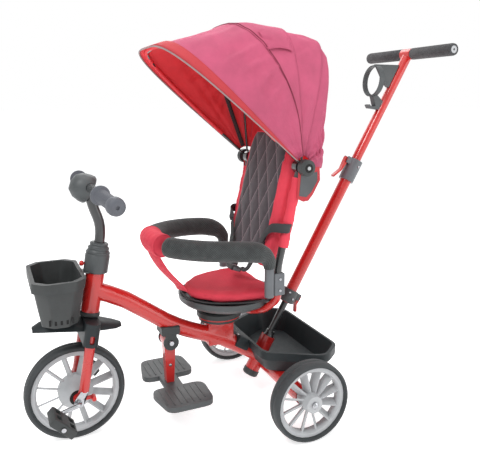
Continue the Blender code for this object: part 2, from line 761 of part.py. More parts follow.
def build_front_basket():
    """An open tub with a band round its rim and a hook plate behind it."""
    foot = BASKET_FOOT_Z - HEAD_Z
    rim = BASKET_RIM_Z - HEAD_Z
    slope = math.tan(STEER_TILT)
    back_foot = -HEAD_RADIUS / COS_STEER - BASKET_SETBACK + foot * slope
    back_rim = back_foot + (rim - foot) * slope
    front_rim = back_rim - BASKET_LENGTH
    front_foot = front_rim + 0.020
    half = BASKET_HALF_WIDTH
    wall = BASKET_WALL
    band = rim - BASKET_BAND
    inset = 0.006
    foot_half = half - 0.022
    rings = [basket_ring(front_foot + wall, back_foot - wall, foot_half - wall, foot + wall),
             basket_ring(front_rim + inset + wall, back_rim - inset - wall, half - inset - wall,
                         rim),
             basket_ring(front_rim, back_rim, half, rim),
             basket_ring(front_rim, back_rim - BASKET_BAND * slope, half, band),
             basket_ring(front_rim + inset, back_rim - BASKET_BAND * slope - 0.001,
                         half - inset, band - 0.001),
             basket_ring(front_foot, back_foot, foot_half, foot)]
    tub = loft(STEERING_LEVEL, rings)
    publish(tub, "front_basket", GREY, 0.4)
    height = COVER_FOOT - GAP - BRACKET_THICKNESS
    collar = turned(STEERING, [(STEERER_RADIUS + GAP, height + BRACKET_THICKNESS),
                               (0.0240, height + BRACKET_THICKNESS), (0.0240, height),
                               (STEERER_RADIUS + GAP, height)], 24)
    reach = -HEAD_RADIUS - BASKET_SETBACK * COS_STEER + GAP
    tongue = block(STEERING, (-reach - 0.018, BRACKET_WIDTH, BRACKET_THICKNESS),
                   ((reach - 0.018) / 2, 0, height + BRACKET_THICKNESS / 2))
    drop = 0.050
    plate = block(STEERING, (BRACKET_THICKNESS, BRACKET_WIDTH, drop),
                  (reach + BRACKET_THICKNESS / 2 + 0.0012, 0,
                   height + BRACKET_THICKNESS - drop / 2))
    unite(collar, tongue, plate)
    publish(collar, "basket_bracket", BLACK, 0.45)


def tyre_profile(radius, width, rim_radius):
    depth = radius - rim_radius
    outer = [(rim_radius + GAP, 0.33), (rim_radius + 0.35 * depth, 0.50),
             (rim_radius + 0.80 * depth, 0.44), (radius, 0.20)]
    profile = [(r, share * width) for r, share in outer]
    return profile + [(r, -h) for r, h in reversed(profile)]


def build_wheel(axle, name, radius, width, rim_radius, hub):
    """A tyre on a bladed rim. The wheel stands on a flat between two of its corners."""
    flat = 1 / math.cos(math.pi / WHEEL_SIDES)
    half_step = math.pi / WHEEL_SIDES
    tyre = turned(axle, [(r * flat, h) for r, h in tyre_profile(radius, width, rim_radius)],
                  WHEEL_SIDES, (0, 0, 0), (0, 1, 0), spin=half_step)
    publish(tyre, name.replace("wheel", "tyre"), TYRE, 0.8)
    inner = rim_radius - RIM_DEPTH
    edge = 0.31 * width
    ring = turned(axle, [(rim_radius, edge), (rim_radius, -edge), (rim_radius - 0.009, -edge),
                         (inner, -edge * 0.62), (inner, edge * 0.62),
                         (rim_radius - 0.009, edge)],
                  WHEEL_SIDES, (0, 0, 0), (0, 1, 0), spin=half_step)
    bore, hub_radius, hub_half, end_radius = hub
    waist = 0.28 * width
    core = turned(axle, [(bore, hub_half), (end_radius, hub_half), (hub_radius, waist),
                         (hub_radius, -waist), (end_radius, -hub_half), (bore, -hub_half)],
                  20, (0, 0, 0), (0, 1, 0))
    blades = []
    overlap = 0.003
    length = inner - hub_radius + 2 * overlap
    middle = (inner + hub_radius) / 2
    for k in range(SPOKES):
        angle = 2 * math.pi * (k + 0.5) / SPOKES
        blade = block(axle, (length, 0.50 * width, SPOKE_THICKNESS), (0, 0, 0))
        place = (Matrix.Rotation(angle, 4, "Y") @ Matrix.Translation((middle, 0, 0))
                 @ Matrix.Rotation(SPOKE_TWIST, 4, "X"))
        blade.data.transform(place)
        blades.append(blade)
    unite(ring, merge_copies(blades), core)
    publish(ring, name.replace("wheel", "rim"), SILVER, 0.45)


def build_front_wheel():
    bore = CRANK_AXLE_RADIUS + GAP
    build_wheel(FRONT_AXLE, "front_wheel", FRONT_RADIUS, FRONT_WIDTH, FRONT_RIM_RADIUS,
                (bore, FRONT_HUB_RADIUS, FRONT_HUB_HALF, FRONT_HUB_END_RADIUS))


def crank_way(side):
    """Unit direction of one crank: the left one points ahead and slightly down."""
    ahead = Vector((-math.cos(CRANK_ANGLE), 0, -math.sin(CRANK_ANGLE)))
    return ahead if side < 0 else -ahead


def build_cranks():
    points = []
    spindle_end = PEDAL_Y + PEDAL_SIZE[1] / 2 + 0.004
    for side in (-1, 1):
        way = crank_way(side) * CRANK_LENGTH
        arm = [way + Vector((0, side * spindle_end, 0)),
               way + Vector((0, side * (CRANK_Y + CRANK_SPREAD), 0)),
               Vector((0, side * CRANK_Y, 0))]
        points += arm if side < 0 else arm[::-1]
    shaft = pipe(FRONT_AXLE, smooth_path(points, 0.009, 3), CRANK_AXLE_RADIUS, 12)
    publish(shaft, "crank_axle", CHROME, 0.2, 1.0)
    for side in (-1, 1):
        way = crank_way(side) * CRANK_LENGTH
        spindle = place_frame(mirror_name("pedal_spindle", side),
                              way + Vector((0, side * PEDAL_Y, 0)), (0, PEDAL_TILT, 0),
                              FRONT_AXLE)
        pedal = block(spindle, PEDAL_SIZE, (0, 0, 0), bevel=0.004)
        half = PEDAL_SIZE[1] / 2 + 0.01
        bore = rod(spindle, (0, -half, 0), (0, half, 0), CRANK_AXLE_RADIUS + GAP, 12)
        windows = []
        for way_x in (-1, 1):
            for way_y in (-1, 1):
                windows.append(block(spindle, (0.015, 0.019, 0.05),
                                     (way_x * 0.0195, way_y * 0.0135, 0)))
        cut(pedal, bore, merge_copies(windows))
        publish(pedal, mirror_name("pedal", side), BLACK, 0.55)


def build_clutch():
    """A red lever beside the left end of the front hub that frees the wheel."""
    inner = FRONT_HUB_HALF + GAP
    outer = DROPOUT_Y - DROPOUT_THICKNESS / 2 - GAP
    ring = turned(FRONT_AXLE, [(CRANK_AXLE_RADIUS + GAP, outer), (CLUTCH_RADIUS, outer),
                               (CLUTCH_RADIUS, inner), (CRANK_AXLE_RADIUS + GAP, inner)], 16,
                  (0, 0, 0), (0, -1, 0))
    middle = (inner + outer) / 2
    tab = block(FRONT_AXLE, (CLUTCH_REACH - 0.008, 0.005, 0.010),
                ((CLUTCH_REACH + 0.008) / 2, -middle, 0), bevel=0.0015, steps=1)
    tip = rod(FRONT_AXLE, (CLUTCH_REACH, -middle + 0.0025, 0),
              (CLUTCH_REACH, -middle - 0.016, 0), 0.0065, 14, 0.0055)
    unite(ring, tab, tip)
    publish(ring, "clutch_lever", RED, 0.35)


def build_footrest():
    top = FOOTREST_PIVOT_Z + 0.045
    foot = FOOTREST_PIVOT_Z + FOOTREST_DRUM + 0.0015
    wide = 2 * (FOOTREST_DRUM_HALF + CHEEK_THICKNESS)
    saddle = block(ROOT, (0.050, wide, top - foot), (FOOTREST_X, 0, (top + foot) / 2),
                   bevel=0.003, steps=1)
    cheeks = []
    inner = FOOTREST_DRUM_HALF + GAP
    outer = FOOTREST_DRUM_HALF + CHEEK_THICKNESS - SLACK
    for side in (-1, 1):
        cheeks.append(rod(ROOT, (FOOTREST_X, side * inner, FOOTREST_PIVOT_Z),
                          (FOOTREST_X, side * outer, FOOTREST_PIVOT_Z), CHEEK_RADIUS, 24))
        cheeks.append(block(ROOT, (0.030, outer - inner, 0.030),
                            (FOOTREST_X, side * (outer + inner) / 2, FOOTREST_PIVOT_Z + 0.024)))
    unite(saddle, *cheeks)
    tube = pipe(ROOT, main_tube_path(), TUBE_RADIUS + GAP, 16)
    bolt_bore = rod(ROOT, (FOOTREST_X, -0.05, FOOTREST_PIVOT_Z),
                    (FOOTREST_X, 0.05, FOOTREST_PIVOT_Z), 0.004 + GAP, 12)
    cut(saddle, tube, bolt_bore)
    publish(saddle, "footrest_bracket", BLACK, 0.45)
    head = 0.005
    bolt = turned(ROOT, [(0, outer + head), (0.006, outer + head), (0.008, outer + 0.002),
                         (0.008, outer + GAP), (0.004, outer + GAP), (0.004, -outer - head),
                         (0, -outer - head)], 14,
                  (FOOTREST_X, 0, FOOTREST_PIVOT_Z), (0, -1, 0), closed=False)
    publish(bolt, "footrest_bolt", CHROME, 0.25, 1.0)
    drop = FOOTREST_PIVOT_Z - PLATE_TOP_Z - GAP
    drum = rod(FOOTREST, (0, -FOOTREST_DRUM_HALF, 0), (0, FOOTREST_DRUM_HALF, 0),
               FOOTREST_DRUM, 24)
    arm = slab(FOOTREST, [(-0.0165, 0.004), (-0.010, -drop), (0.010, -drop), (0.0165, 0.004)],
               0.024, (0, 0, 0), (math.pi / 2, 0, 0))
    unite(drum, arm)
    cut(drum, rod(FOOTREST, (0, -0.05, 0), (0, 0.05, 0), 0.004 + GAP, 12))
    publish(drum, "footrest_arm", RED, 0.25)
    plates = []
    front = PLATE_FRONT_X - FOOTREST_X
    back = PLATE_BACK_X - FOOTREST_X
    height = PLATE_TOP_Z - PLATE_THICKNESS / 2 - FOOTREST_PIVOT_Z
    for side in (-1, 1):
        near = side * PLATE_INNER_Y
        far = side * PLATE_OUTER_Y
        outline = rounded([(front, near), (front + 0.022, far), (back - 0.006, far),
                           (back, near)], 0.028, 4)
        plates.append(slab(FOOTREST, outline, PLATE_THICKNESS, (0, 0, height)))
    neck = block(FOOTREST, (0.050, 2 * PLATE_INNER_Y + 0.02, PLATE_THICKNESS - SLACK),
                 (0.004, 0, height + SLACK / 2), bevel=0.003, steps=1)
    unite(neck, *plates)
    publish(neck, "footrest_plates", GREY, 0.5)


def build_turntable():
    pin = 0.010
    base_top = TURN_BASE_Z + TURN_BASE_HEIGHT
    base = turned(SEAT, [(pin + GAP, base_top), (TURN_BASE_RADIUS, base_top),
                         (TURN_BASE_RADIUS, TURN_BASE_Z), (pin + GAP, TURN_BASE_Z)], 32)
    publish(base, "turntable_base", BLACK, 0.4)
    top_foot = base_top + GAP
    top = top_foot + TURN_TOP_HEIGHT
    disc = turned(SEAT, [(0, top), (TURN_TOP_RADIUS - 0.004, top), (TURN_TOP_RADIUS, top - 0.004),
                         (TURN_TOP_RADIUS, top_foot), (pin, top_foot), (pin, TURN_BASE_Z),
                         (0, TURN_BASE_Z)], 32, closed=False)
    publish(disc, "turntable_top", BLACK, 0.4)
    return top


def build_seat():
    turntable_top = build_turntable()
    foot = turntable_top + GAP
    shift = PAN_X - SWIVEL_X
    rim = foot + PAN_RISE
    radius = PAN_RADIUS
    pan = turned(SEAT, [(0, foot + 0.022), (radius - 0.016, foot + 0.030), (radius - 0.005, rim),
                        (radius, rim), (radius - 0.002, foot + 0.033),
                        (radius - 0.012, foot + 0.024), (radius - 0.030, foot + 0.0155),
                        (radius - 0.058, foot + 0.006), (radius - 0.078, foot), (0, foot)], 32,
                 (shift, 0, 0), closed=False)
    cut(pan, pipe(SEAT, seat_tube_path(), SEAT_TUBE_RADIUS + SLACK, 10))
    publish(pan, "seat_pan", BLACK, 0.45)
    places = [(-0.243, 0.022), (-0.232, 0.052), (-0.198, 0.092), (-0.130, 0.121),
              (-0.070, 0.128), (-0.030, 0.124), (-0.018, 0.100)]
    outline = [(x - SWIVEL_X, y) for x, y in places]
    outline = outline + [(x, -y) for x, y in reversed(outline)]
    cushion_foot = rim + GAP
    cushion = slab(SEAT, outline, CUSHION_HEIGHT, (0, 0, cushion_foot + CUSHION_HEIGHT / 2))
    weld = cushion.modifiers.new("weld", "WELD")
    weld.merge_threshold = 0.0001
    edge = cushion.modifiers.new("edge", "BEVEL")
    edge.width = CUSHION_EDGE
    edge.segments = 2
    edge.limit_method = "ANGLE"
    edge.angle_limit = math.radians(50)
    publish(cushion, "seat_cushion", DARK_RED, 0.9)
    return rim


def seat_tube_path():
    """One bent tube: up from the left bracket's foot, behind the turntable, and back up."""
    insert = BRACKET_FOOT_Z + 0.020
    behind = TURN_TOP_RADIUS + SEAT_TUBE_RADIUS + GAP
    x = SEAT_TUBE_X - SWIVEL_X
    half = [(x, SEAT_TUBE_Y, insert), (x, SEAT_TUBE_Y, 0.3445), (x - 0.015, 0.1175, 0.3125),
            (x - 0.021, 0.094, 0.3005), (behind + 0.006, 0.045, 0.2815)]
    left = [(px, -py, pz) for px, py, pz in half]
    return smooth_path(left + [(behind, 0, 0.2765)] + half[::-1], 0.012, 2)


def build_seat_frame():
    tube = pipe(SEAT, seat_tube_path(), SEAT_TUBE_RADIUS, 10)
    publish(tube, "seat_frame", RED, 0.25)
    x = SEAT_TUBE_X - SWIVEL_X
    sleeve_x = SLEEVE_X - SWIVEL_X
    for side in (-1, 1):
        y = side * SEAT_TUBE_Y
        height = BRACKET_TOP_Z - BRACKET_FOOT_Z
        body = block(SEAT, (0.030, 0.026, height), (x - 0.0005, y, BRACKET_FOOT_Z + height / 2),
                     bevel=0.002, steps=1)
        sleeve = rod(SEAT, (sleeve_x, side * SLEEVE_Y, BRACKET_FOOT_Z - 0.002),
                     (sleeve_x, side * SLEEVE_Y, SLEEVE_TOP_Z), SLEEVE_RADIUS, 16)
        unite(body, sleeve)
        pin_bore = rod(SEAT, (sleeve_x, side * SLEEVE_Y, BRACKET_FOOT_Z - 0.01),
                       (sleeve_x, side * SLEEVE_Y, SLEEVE_TOP_Z + 0.01),
                       BAR_PIN_RADIUS + GAP, 16)
        low_bore = rod(SEAT, (x, y, BRACKET_FOOT_Z - 0.01), (x, y, BRACKET_FOOT_Z + 0.021),
                       SEAT_TUBE_RADIUS + GAP, 24)
        high_bore = rod(SEAT, (x, y, BRACKET_TOP_Z - 0.021), (x, y, BRACKET_TOP_Z + 0.01),
                        SEAT_TUBE_RADIUS + GAP, 24)
        cut(body, pin_bore, low_bore, high_bore)
        publish(body, mirror_name("arm_bracket", side), BLACK, 0.45)
        lean = math.atan2(HUB_X - SEAT_TUBE_X - 0.008, HUB_Z - 0.460)
        hub_x = HUB_X - SWIVEL_X
        back_y = side * BACK_TUBE_Y
        knees = [(x, y, BRACKET_TOP_Z - 0.020), (x, y, BRACKET_TOP_Z + 0.014),
                 (hub_x, back_y, HUB_Z - 0.008)]
        tube = pipe(SEAT, smooth_path(knees, 0.020, 3), SEAT_TUBE_RADIUS, 12)
        boss = rod(SEAT, (hub_x, back_y - BOSS_HALF, HUB_Z), (hub_x, back_y + BOSS_HALF, HUB_Z),
                   HUB_RADIUS, 20)
        unite(tube, boss)
        cut(tube, rod(SEAT, (hub_x, back_y - 0.03, HUB_Z), (hub_x, back_y + 0.03, HUB_Z),
                      BOLT_RADIUS + GAP, 12))
        publish(tube, mirror_name("back_tube", side), BLACK, 0.35)


def back_lean():
    """The backrest leans with the tubes beside it."""
    foot = BRACKET_TOP_Z + 0.014
    return math.atan2(HUB_X - SEAT_TUBE_X, HUB_Z - 0.008 - foot)


def back_x(z):
    """Centre of the backrest at a height, from the swivel axis."""
    return HUB_X - SWIVEL_X - (HUB_Z - 0.008 - z) * math.tan(back_lean())


def build_backrest():
    lean = back_lean()
    base = place_frame("backrest_plane", (back_x(BACK_FOOT_Z), 0, BACK_FOOT_Z), (0, lean, 0),
                       SEAT)
    widest = BACK_TUBE_Y - SEAT_TUBE_RADIUS - GAP
    tall = BACK_HEIGHT
    shares = [(0.70, 0.0), (0.86, 0.06), (0.96, 0.20), (1.0, 0.40), (1.0, 0.66), (0.93, 0.83),
              (0.78, 0.95), (0.45, 1.0)]
    half = [(widest * share, tall * height) for share, height in shares]
    outline = half + [(-y, z) for y, z in reversed(half)]
    shell = slab(base, outline, BACK_THICKNESS, (0, 0, 0), (math.pi / 2, 0, math.pi / 2))
    edge = shell.modifiers.new("edge", "BEVEL")
    edge.width = 0.010
    edge.segments = 2
    edge.limit_method = "ANGLE"
    edge.angle_limit = math.radians(50)
    publish(shell, "backrest", DARK_RED, 0.9)


def build_harness():
    """Two webbing straps from the backrest that meet in a buckle on the lap."""
    front = BACK_THICKNESS / 2 / math.cos(back_lean()) + 0.0031
    buckle = Vector((-0.098 - SWIVEL_X, 0, 0.398))
    straps = []
    for side in (-1, 1):
        high = (back_x(0.575) - front, side * 0.100, 0.575)
        mid = (back_x(0.480) - front - 0.007, side * 0.096, 0.480)
        low = (buckle.x + 0.016, side * 0.074, 0.420)
        end = (buckle.x + 0.006, side * 0.014, buckle.z)
        path = spline_path([high, mid, low, end], 4)
        straps.append(ribbon(SEAT, path, 0.024, 0.0024, (0.10, 0.95, 0.20 * side)))
    catch = block(SEAT, (0.030, 0.046, 0.012), buckle, (0, math.radians(20), 0), bevel=0.003)
    unite(catch, *straps)
    publish(catch, "harness", BLACK, 0.7)


def foam_path(side, reach_over):
    """The safety bar's centre line from its hinge round to the middle of the front."""
    plan = [(SLEEVE_X - 0.003, SLEEVE_Y + 0.001, 0.452), (-0.086, SLEEVE_Y + 0.004, 0.472),
            (-0.120, 0.164, 0.483), (-0.175, 0.158, 0.488), (-0.235, 0.137, 0.491),
            (-0.285, 0.100, 0.493), (-0.315, 0.055, 0.494), (-0.323, 0.0, 0.494)]
    points = [(SLEEVE_X, SLEEVE_Y, SLEEVE_TOP_Z - 0.004)] + plan
    points = [(x - SWIVEL_X, side * y, z) for x, y, z in points]
    path = spline_path(points, 3)
    if reach_over:
        mirrored = [Vector((p.x, -p.y, p.z)) for p in reversed(path[:-1])]
        path = path + [p for p in mirrored if abs(p.y) < reach_over]
    else:
        path = [p for p in path if abs(p.y) > BAR_COVER_HALF + 0.010 or p.x > -0.1]
    return path


def foam_widths(path):
    """Slim at the hinge and full thickness along the arm."""
    slim = 0.55
    widths = []
    run = 0.0
    for i, spot in enumerate(path):
        run += (spot - path[i - 1]).length if i else 0.0
        widths.append(min(1.0, slim + (1 - slim) * run / 0.065))
    return widths


def build_safety_bar():
    """Two padded halves that swing outward. The right one carries the front cover."""
    for side in (-1, 1):
        path = foam_path(side, 0.040 if side > 0 else 0.0)
        foam = pipe(SEAT, path, FOAM_RADIUS, 12, foam_widths(path))
        x = SLEEVE_X - SWIVEL_X
        y = side * SLEEVE_Y
        pin = rod(SEAT, (x, y, BRACKET_FOOT_Z), (x, y, 0.450), BAR_PIN_RADIUS, 14)
        cut(foam, rod(SEAT, (x, y, BRACKET_FOOT_Z), (x, y, SLEEVE_TOP_Z + GAP), 0.05))
        unite(foam, pin)
        if side < 0:
            edge = BAR_COVER_HALF + 0.004
            cut(foam, block(SEAT, (0.2, 0.2, 0.2), (-0.323 - SWIVEL_X, 0.1 - edge, 0.49)))
        publish(foam, mirror_name("safety_bar", side), BLACK, 0.9)


def cover_path(half):
    path = foam_path(1, 0.09)
    return [p for p in path if abs(p.y) < half and p.x < -0.1]


def build_bar_cover():
    """A fabric sleeve round the front of the bar, with a strap down to the seat."""
    outer = pipe(SEAT, cover_path(BAR_COVER_HALF), FOAM_RADIUS + BAR_COVER_SKIN, 12)
    bore = pipe(SEAT, cover_path(0.085), FOAM_RADIUS + SLACK, 12)
    top = (-0.302 - SWIVEL_X, 0, 0.478)
    strap = ribbon(SEAT, spline_path([top, (-0.292 - SWIVEL_X, 0, 0.425),
                                      (-0.272 - SWIVEL_X, 0, 0.385),
                                      (-0.2475 - SWIVEL_X, 0, 0.350)], 3),
                   STRAP_WIDTH, 0.004)
    unite(outer, strap)
    cut(outer, bore)
    publish(outer, "bar_cover", DARK_RED, 0.9)


CANOPY = place_frame("canopy_hinge", (HUB_X - SWIVEL_X, 0, HUB_Z), (0, 0, 0), SEAT)
BOSS_OUT = BACK_TUBE_Y + BOSS_HALF
MID_EYE_OUT = BOSS_OUT + GAP + 0.008
FRONT_EYE_OUT = MID_EYE_OUT + GAP + 0.0074
MID_BOW_Y = BOSS_OUT + GAP + BOW_RADIUS + 0.0002
FRONT_BOW_Y = MID_EYE_OUT + GAP + BOW_RADIUS + 0.0007
HOOD_OUT = BOSS_OUT - 0.0002
MID_OUT = MID_BOW_Y + BOW_RADIUS + 0.0007 + FABRIC
FRONT_OUT = FRONT_BOW_Y + BOW_RADIUS + 0.0007 + FABRIC
FRONT_REACH = [(50, 0.456), (44, 0.430), (38, 0.412), (30, 0.394), (17, 0.370), (4, 0.3535)]
MID_REACH = [(8, 0.3500), (-3, 0.3415), (-14, 0.3400)]
HOOD_REACH = [(-9, 0.3345), (-14, 0.3335), (-20, 0.312), (-28, 0.226), (-38, 0.153),
              (-60, 0.106), (-97, 0.092)]
FOLD_STEP = 9.0


def arch(angle, half, reach, steps, clear):
    """A boxy arch from hub to hub in the plane that stands at an angle ahead of upright."""
    lean = math.radians(angle)
    start = math.asin((clear / reach) ** (ARCH_POWER / 2)) if clear else 0.0
    points = []
    for k in range(steps + 1):
        t = start + (math.pi - 2 * start) * k / steps
        share = 2 / ARCH_POWER
        y = -half * math.copysign(abs(math.cos(t)) ** share, math.cos(t))
        out = reach * abs(math.sin(t)) ** share
        points.append((-out * math.sin(lean), y, out * math.cos(lean)))
    return points


def reach_at(table, angle):
    for (a, low), (b, high) in zip(table, table[1:]):
        if a >= angle >= b:
            return low + (high - low) * (a - angle) / (a - b)
    return table[-1][1]


def canopy_skin(table, half_out):
    first = table[0][0]
    last = table[-1][0]
    count = max(2, round((first - last) / FOLD_STEP))
    rings = []
    for k in range(count + 1):
        angle = first + (last - first) * k / count
        reach = reach_at(table, angle)
        outer = arch(angle, half_out, reach, ARCH_STEPS, HUB_CLEAR)
        inner = arch(angle, half_out - FABRIC, reach - FABRIC, ARCH_STEPS, HUB_CLEAR)
        rings.append(outer + inner[::-1])
    return loft(CANOPY, rings)


def build_bow(name, angle, half, reach, eye_in, eye_out):
    """A bent wire arch with a flat eye at each hub."""
    path = arch(angle, half, reach, ARCH_STEPS, HUB_CLEAR)
    path = [(0, -half, 0)] + path + [(0, half, 0)]
    bow = pipe(CANOPY, path, BOW_RADIUS, 8)
    eyes = [rod(CANOPY, (0, side * eye_in, 0), (0, side * eye_out, 0), EYE_RADIUS, 16)
            for side in (-1, 1)]
    unite(bow, *eyes)
    width = FRONT_OUT + 0.05
    cut(bow, rod(CANOPY, (0, -width, 0), (0, width, 0), BOLT_RADIUS + GAP, 12))
    publish(bow, name, BLACK, 0.4)


def build_canopy():
    publish(canopy_skin(HOOD_REACH, HOOD_OUT), "canopy_hood", RED, 0.9)
    publish(canopy_skin(MID_REACH, MID_OUT), "canopy_middle", RED, 0.9)
    publish(canopy_skin(FRONT_REACH, FRONT_OUT), "canopy_front", RED, 0.9)
    inside = FABRIC + BOW_RADIUS + 0.002
    build_bow("middle_bow", 5.0, MID_BOW_Y, reach_at(MID_REACH, 5.0) - inside,
              BOSS_OUT + GAP, MID_EYE_OUT)
    build_bow("front_bow", 48.5, FRONT_BOW_Y, reach_at(FRONT_REACH, 48.5) - inside,
              MID_EYE_OUT + GAP, FRONT_EYE_OUT)
    for side in (-1, 1):
        start = FRONT_EYE_OUT + GAP
        deep = BACK_TUBE_Y - 0.012
        knob = turned(CANOPY, [(0, start + KNOB_HEIGHT), (KNOB_RADIUS * 0.6, start + KNOB_HEIGHT),
                               (KNOB_RADIUS, start + KNOB_HEIGHT - 0.005), (KNOB_RADIUS, start),
                               (BOLT_RADIUS, start), (BOLT_RADIUS, deep), (0, deep)], 20,
                      (0, 0, 0), (0, side, 0), closed=False)
        publish(knob, mirror_name("canopy_knob", side), BLACK, 0.5)


def build_pole():
    core = 0.0070
    foot = turned(POLE, [(core, 0.265), (POLE_BORE - GAP, 0.265),
                         (POLE_BORE - GAP, POLE_FOOT + GAP),
                         (0.0095, POLE_FOOT - 0.001), (0.0095, 0.113), (0.0135, 0.112),
                         (0.0135, 0.100), (0.0170, SOCKET_TOP - 0.001),
                         (0.0170, SOCKET_FOOT + 0.002), (core, SOCKET_FOOT + 0.002)], 18)
    publish(foot, "pole_foot", BLACK, 0.3)
    outer = turned(POLE, [(POLE_RADIUS, POLE_TOP), (POLE_RADIUS, POLE_FOOT),
                          (POLE_BORE, POLE_FOOT), (POLE_BORE, POLE_TOP)], 20)
    publish(outer, "pole_lower", RED, 0.25)
    inner = turned(POLE_SLIDE, [(INNER_RADIUS, HANDLE_RISE - 0.004), (INNER_RADIUS, INNER_FOOT),
                                (INNER_BORE, INNER_FOOT), (INNER_BORE, HANDLE_RISE - 0.004)],
                   20)
    bar = rod(POLE_SLIDE, (0, -HANDLE_HALF, HANDLE_RISE), (0, HANDLE_HALF, HANDLE_RISE),
              HANDLE_BAR_RADIUS, 16)
    tee_half = PUSH_GRIP_START - SLACK
    tee = rod(POLE_SLIDE, (0, -tee_half, HANDLE_RISE), (0, tee_half, HANDLE_RISE), 0.0165, 18)
    unite(inner, bar, tee)
    through = HANDLE_HALF + 0.01
    cut(inner, rod(POLE_SLIDE, (0, -through, HANDLE_RISE), (0, through, HANDLE_RISE),
                   HANDLE_BAR_RADIUS - TUBE_WALL, 8))
    publish(inner, "pole_upper", RED, 0.25)
    for side in (-1, 1):
        length = HANDLE_HALF - PUSH_GRIP_START
        bore = HANDLE_BAR_RADIUS + GAP
        radius = PUSH_GRIP_RADIUS
        end = length + PUSH_GRIP_END
        grip = turned(POLE_SLIDE, [(0, length + GAP), (bore, length + GAP), (bore, 0),
                                   (radius - 0.002, 0), (radius, 0.003), (radius, end - 0.004),
                                   (radius - 0.004, end), (0, end)], 20,
                      (0, side * PUSH_GRIP_START, HANDLE_RISE), (0, side, 0), closed=False)
        publish(grip, mirror_name("push_grip", side), BLACK, 0.85)


def lever_outline(length, thick, flare):
    """Side view of a cam lever: an eye at its root and a tail that flares out."""
    return [(-0.006, -0.006), (-0.006, 0.006), (0.006, 0.006), (0.006, -0.006),
            (thick, -length * 0.55), (thick + flare, -length), (flare, -length - 0.004),
            (0.000, -length * 0.62)]


def build_pole_clamp(name, foot, top, radius, low_bore, lever):
    """A split collar round the pole with two lugs, and a cam lever pinned between them."""
    lever_name, way, pivot, length, flare = lever
    bores = [(radius, top), (radius, foot), (POLE_RADIUS + GAP, foot)]
    if low_bore:
        bores += [(POLE_RADIUS + GAP, POLE_TOP + GAP), (INNER_RADIUS + GAP, POLE_TOP + GAP),
                  (INNER_RADIUS + GAP, top)]
    else:
        bores += [(POLE_RADIUS + GAP, top)]
    collar = turned(POLE, bores, 24)
    lug_half = 0.009
    reach = radius + 0.010
    lugs = [block(POLE, (0.018, 0.005, 0.020), (way * (reach - 0.007), side * lug_half, pivot),
                  bevel=0.0015, steps=1) for side in (-1, 1)]
    slot = block(POLE, (0.020, 2 * (lug_half - 0.0025), 0.026),
                 (way * (radius + 0.007), 0, pivot))
    unite(collar, *lugs)
    cut(collar, slot)
    cut(collar, rod(POLE, (way * reach, -0.02, pivot), (way * reach, 0.02, pivot), 0.0018, 10))
    publish(collar, name, GREY, 0.45)
    hinge = place_frame(lever_name + "_axis", (way * reach, 0, pivot), (0, 0, 0), POLE)
    outline = [(way * x, z) for x, z in lever_outline(length, 0.004, flare)]
    arm = slab(hinge, outline, 2 * (lug_half - 0.0025 - GAP), (0, 0, 0), (math.pi / 2, 0, 0))
    pin = rod(hinge, (0, -lug_half - 0.003, 0), (0, lug_half + 0.003, 0), 0.0015, 10)
    unite(arm, pin)
    publish(arm, lever_name, RED, 0.3)


def build_pole_clamps():
    build_pole_clamp("pole_collar", COLLAR_FOOT, COLLAR_TOP, COLLAR_RADIUS, True,
                     ("collar_lever", -1, COLLAR_TOP - 0.012, 0.062, 0.014))
    build_pole_clamp("pole_clamp", CLAMP_FOOT, CLAMP_TOP, CLAMP_RADIUS, False,
                     ("clamp_lever", 1, CLAMP_TOP - 0.012, 0.040, 0.010))


